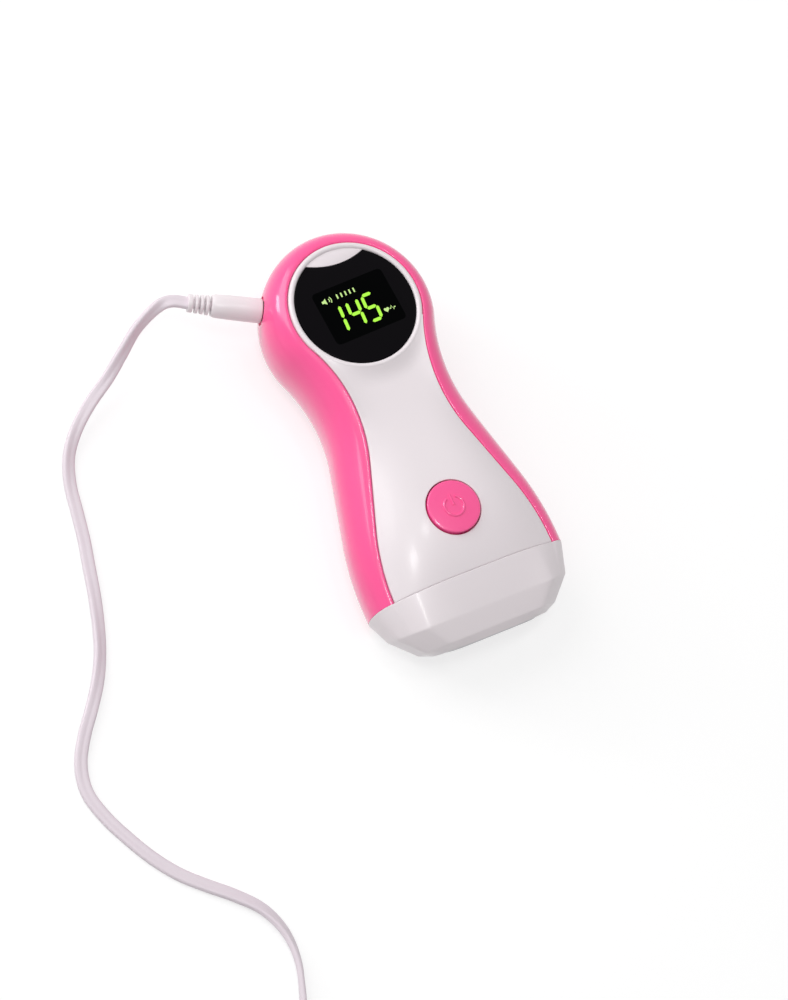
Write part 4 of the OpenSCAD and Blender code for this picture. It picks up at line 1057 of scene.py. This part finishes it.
def parting_section():
    """The whole body's section at the parting line, clockwise from its left front edge."""
    flank = shell_path(2, 0)[5:]
    half = half_width(WHITE_LINE, PARTING)
    front = [(half * c / CAP_SIDES, front_z(half * c / CAP_SIDES, PARTING))
             for c in range(-CAP_SIDES, CAP_SIDES + 1)]
    right = [(p.x, p.z) for p in flank]
    back = [(right[-1][0] * s / 12, 0) for s in range(11, -12, -1)]
    return front + right + back + [(-x, z) for x, z in reversed(right)]


section_points = parting_section()
section_points.append(section_points[0])
section_angles = [math.atan2((z - SECTION_Z) / SECTION_Z, x / BASE_HALF) for x, z in section_points]


def octagon_radius(angle):
    c, s = abs(math.cos(angle)), abs(math.sin(angle))
    corner = (c * math.cos(CORNER_NORMAL) + s * math.sin(CORNER_NORMAL)) / CORNER_REACH
    return (c ** SOFTNESS + s ** SOFTNESS + corner ** SOFTNESS) ** (-1 / SOFTNESS)


def round_radius(angle):
    return (abs(math.cos(angle)) ** 2.4 + abs(math.sin(angle)) ** 2.4) ** (-1 / 2.4)


def cap_ring(half, low, high, low_drop, high_drop, sharp):
    ring = []
    for angle in section_angles:
        reach = sharp * octagon_radius(angle) + (1 - sharp) * round_radius(angle)
        z = (low + high) / 2 + reach * math.sin(angle) * (high - low) / 2
        drop = low_drop + (high_drop - low_drop) * (z - low) / (high - low)
        ring.append(Vector((half * reach * math.cos(angle), HEAD_Y - drop, z)))
    return ring


def parting_ring(depth, drop):
    wide, tall = 1 - depth / BASE_HALF, 1 - depth / SECTION_Z
    return [Vector((x * wide, HEAD_Y - drop, max(0, SECTION_Z + (z - SECTION_Z) * tall)))
            for x, z in section_points]


FACE_TILT = math.radians(15)
FACE_LENGTH = 15
FACE_TOP = 20.5
FACE_DROP = 105
face_low = FACE_TOP - FACE_LENGTH * math.cos(FACE_TILT)
face_low_drop = FACE_DROP - FACE_LENGTH * math.sin(FACE_TILT)
cap_rings = [
    cap_ring(19, face_low + 0.7, FACE_TOP - 0.7, face_low_drop + 0.19, FACE_DROP - 0.19, 0),
    cap_ring(21.9, face_low - 1.6, FACE_TOP + 1.5, face_low_drop - 1, 103, 1),
    cap_ring(28.6, 1.5, 24.7, 92, 97, 1),
    parting_ring(-0.1, PARTING + 0.04),
    parting_ring(2.3, PARTING + 0.04),
    parting_ring(2.3, PARTING - 2.5),
    parting_ring(3.5, PARTING - 2.5),
    cap_ring(25.9, 4, 22, 90, 95.5, 1),
    cap_ring(18.4, face_low + 1, FACE_TOP - 0.6, face_low_drop - 2.4, FACE_DROP - 2.4, 0)]
CAP_ROUNDS = [0.4, 0.45, 0.3, 0.3, 0.3, 0.3, 1.0]
columns = [rounded([ring[n] for ring in cap_rings], CAP_ROUNDS, 5)
           for n in range(len(section_angles))]
bm = bmesh.new()
skin(bm, [list(row) for row in zip(*columns)], closed=True)
fill_ends(bm)
cap = finished(bm, "end_cap", "white_plastic", "housing", ["probe_cap"])

# %% [markdown]
# The sound passes through a smooth window in the probe face. The cap gets a slot for it, and the
# window is a slab with round ends and an eased edge that stands a little proud, so that it meets
# the skin.
# %% Fit the contact window
face_middle = Vector((0, HEAD_Y - (FACE_DROP - FACE_LENGTH / 2 * math.sin(FACE_TILT)),
                      FACE_TOP - FACE_LENGTH / 2 * math.cos(FACE_TILT)))
face_place = Matrix.Translation(face_middle) @ Matrix.Rotation(math.pi / 2 + FACE_TILT, 4, "X")
WINDOW_LENGTH, WINDOW_WIDTH = 30, 11


def stadium(length, width, steps=16):
    x = (length - width) / 2
    return arc((x, 0), width / 2, -90, 90, steps) + arc((-x, 0), width / 2, 90, 270, steps)


bm = bmesh.new()
slab(bm, stadium(WINDOW_LENGTH, WINDOW_WIDTH), -4, 2)
put(bm, face_place)
cut(cap, bm)
bm = bmesh.new()
slab(bm, stadium(WINDOW_LENGTH - 0.1, WINDOW_WIDTH - 0.1), -1.5, 0.4, bevel=0.35, segments=4)
put(bm, face_place)
finished(bm, "skin_window", "window_plastic", "housing", ["contact_window"])

# %% [markdown]
# ## The volume rocker and the battery door
# The rocker follows the head's curve and has a raised plus and minus. Its plan is an arc of the
# head, drawn up and eased, so its face runs on from the shell's.
# %% Shape the rocker
ROCKER_LENGTH, ROCKER_HEIGHT = 14, 5
ROCKER_FACE = 26.85
ROCKER_BACK = 24.3
SIGN_LONG, SIGN_THIN, SIGN_PROUD = 0.9, 0.18, 0.14
reach = math.degrees(math.asin(ROCKER_LENGTH / 2 / ROCKER_FACE))
plan = arc((0, 0), ROCKER_FACE, -reach, reach, 24) + arc((0, 0), ROCKER_BACK, reach, -reach, 24)
bm = bmesh.new()
slab(bm, plan, -ROCKER_HEIGHT / 2, ROCKER_HEIGHT / 2)
bmesh.ops.recalc_face_normals(bm, faces=bm.faces)
bmesh.ops.bevel(bm, geom=[e for e in bm.edges if e.calc_face_angle(0) > math.radians(40)],
                offset=0.45, segments=4, profile=0.5, affect="EDGES", material=-1)
block(bm, (22.4, -1.6, -2.3), (24.6, 1.6, 2.3))
for y, bars in ((4.6, ((SIGN_LONG, SIGN_THIN), (SIGN_THIN, SIGN_LONG))),
                (-4.6, ((SIGN_LONG, SIGN_THIN),))):
    x = math.sqrt(ROCKER_FACE ** 2 - y ** 2)
    for wide, high in bars:
        block(bm, (x - 0.6, y - wide, -high), (x + SIGN_PROUD, y + wide, high))
put(bm, rocker_place)
finished(bm, "rocker", "pink_plastic", "rocker", ["volume_rocker"])

# %% [markdown]
# The door is a thin plate with a round hinge bar, two pins and a latch tongue. Its thumb grooves
# are cut away, because real ones are sunk in the plate.
# %% Shape the battery door
HINGE_Z = 1.1
BAR_RADIUS = 0.9
PIN_RADIUS, PIN_END = 0.5, 13.3
DOOR_THICK = 1.8
hinge_place = Matrix.Translation((0, HINGE_Y, HINGE_Z)) @ Matrix.Rotation(math.pi / 2, 4, "Y")
bm = bmesh.new()
outline = [(-DOOR_HALF, HINGE_Y - 0.2), (-DOOR_HALF, DOOR_END_Y), (DOOR_HALF, DOOR_END_Y),
           (DOOR_HALF, HINGE_Y - 0.2)]
slab(bm, outline, 0, DOOR_THICK)
bmesh.ops.bevel(bm, geom=[e for e in bm.edges if e.calc_face_angle(0) > 1], offset=0.25, segments=2,
                profile=0.5, affect="EDGES", material=-1)
lathe(bm, [(0, -PIN_END), (PIN_RADIUS, -PIN_END), (PIN_RADIUS, -DOOR_HALF),
           (BAR_RADIUS, -DOOR_HALF), (BAR_RADIUS, DOOR_HALF), (PIN_RADIUS, DOOR_HALF),
           (PIN_RADIUS, PIN_END), (0, PIN_END)], 24, hinge_place)
block(bm, (-4, DOOR_END_Y + 0.6, 1.7), (4, DOOR_END_Y + 1.6, 3.2))
door = finished(bm, "cell_door", "pink_plastic", "door", ["battery_door"])
bm = bmesh.new()
for i in range(4):
    y = DOOR_END_Y + 3 + 2 * i
    block(bm, (-7, y, -1), (7, y + 0.8, 0.4))
cut(door, bm)

# %% [markdown]
# ## The parts that stay as CAD
# Inside the shell the CAD solids have the right shape, so they stay and only get their slot's
# finish.
# %% Paint the CAD parts
for part in frame["record"]["subparts"]:
    node = frame["nodes"][part["node"]]
    node.data.materials.clear()
    node.data.materials.append(finishes[part["material_slot"]])

# %% [markdown]
# ## The stage
# The photograph has a plain white ground. The floor is a pale paper to the light that bounces off
# it. To the camera most of it is plain white that no lamp makes, so it is as white as the
# photograph's and still keeps the monitor's soft shadow. In gloss it is all white, like the paper
# round a product.
# %% Build the floor
FLOOR_HALF = 4
bm = bmesh.new()
bmesh.ops.create_grid(bm, x_segments=1, y_segments=1, size=FLOOR_HALF)
floor_mesh = bpy.data.meshes.new("floor")
bm.to_mesh(floor_mesh)
bm.free()
floor = bpy.data.objects.new("floor", floor_mesh)
scene.collection.objects.link(floor)
paper = Finish("floor_paper", colour(226, 226, 226), 0.9, Specular_IOR_Level=0.0,
               Emission_Strength=1.0)
black, white_paper = (0, 0, 0, 1), (1, 1, 1, 1)
seen_grey, seen_glow = (0.38, 0.38, 0.38, 1), (0.68, 0.68, 0.68, 1)
direct, mirrored_rays = paper.rays("Camera"), paper.rays("Glossy", "Transmission")
paper.feed(paper.shader.inputs["Base Color"],
           paper.mix(mirrored_rays, paper.mix(direct, paper.base, seen_grey), black))
paper.feed(paper.shader.inputs["Emission Color"],
           paper.mix(mirrored_rays, paper.mix(direct, black, seen_glow), white_paper))
floor_mesh.materials.append(paper.material)
print("floor is", 2 * FLOOR_HALF, "m wide")

# %% [markdown]
# ## The light
# A large soft lamp stands behind the head, so the facets of the cap that face away from it are a
# little darker. A small one over the monitor draws the bright band on the cap's corner, a second
# the line on the pink ridge, and a low one at the upper left the streak on the head. The world is
# white to the camera and in gloss, and a soft grey to the surfaces that it lights.
# %% Light the stage
world = bpy.data.worlds.new("studio")
scene.world = world
world.use_nodes = True
SKY_LIGHT = 0.42
sky = Bench(world.node_tree)
backdrop = world.node_tree.nodes["Background"]
sky.feed(backdrop.inputs["Color"], (1, 1, 1, 1))
sky.feed(backdrop.inputs["Strength"], sky.node(
    "ShaderNodeMix", {"data_type": "FLOAT"}, {0: sky.rays("Camera", "Glossy", "Transmission"),
                                             2: SKY_LIGHT, 3: 1.0}))
for name, place, watts, size in (("key", (-0.45, 0.75, 0.8), 6.4, 0.9),
                                 ("over", (-0.2, -0.08, 1.0), 1.4, 0.15),
                                 ("upper_left", (-0.75, 0.8, 0.32), 2.4, 0.3),
                                 ("ridge", (0.12, 0.05, 1.0), 0.55, 0.1)):
    lamp_data = bpy.data.lights.new(name, "AREA")
    lamp_data.energy = watts
    lamp_data.size = size
    lamp = bpy.data.objects.new(name, lamp_data)
    lamp.location = place
    lamp.rotation_euler = (-Vector(place)).to_track_quat("-Z", "Y").to_euler()
    scene.collection.objects.link(lamp)
scene.view_settings.view_transform = "Standard"
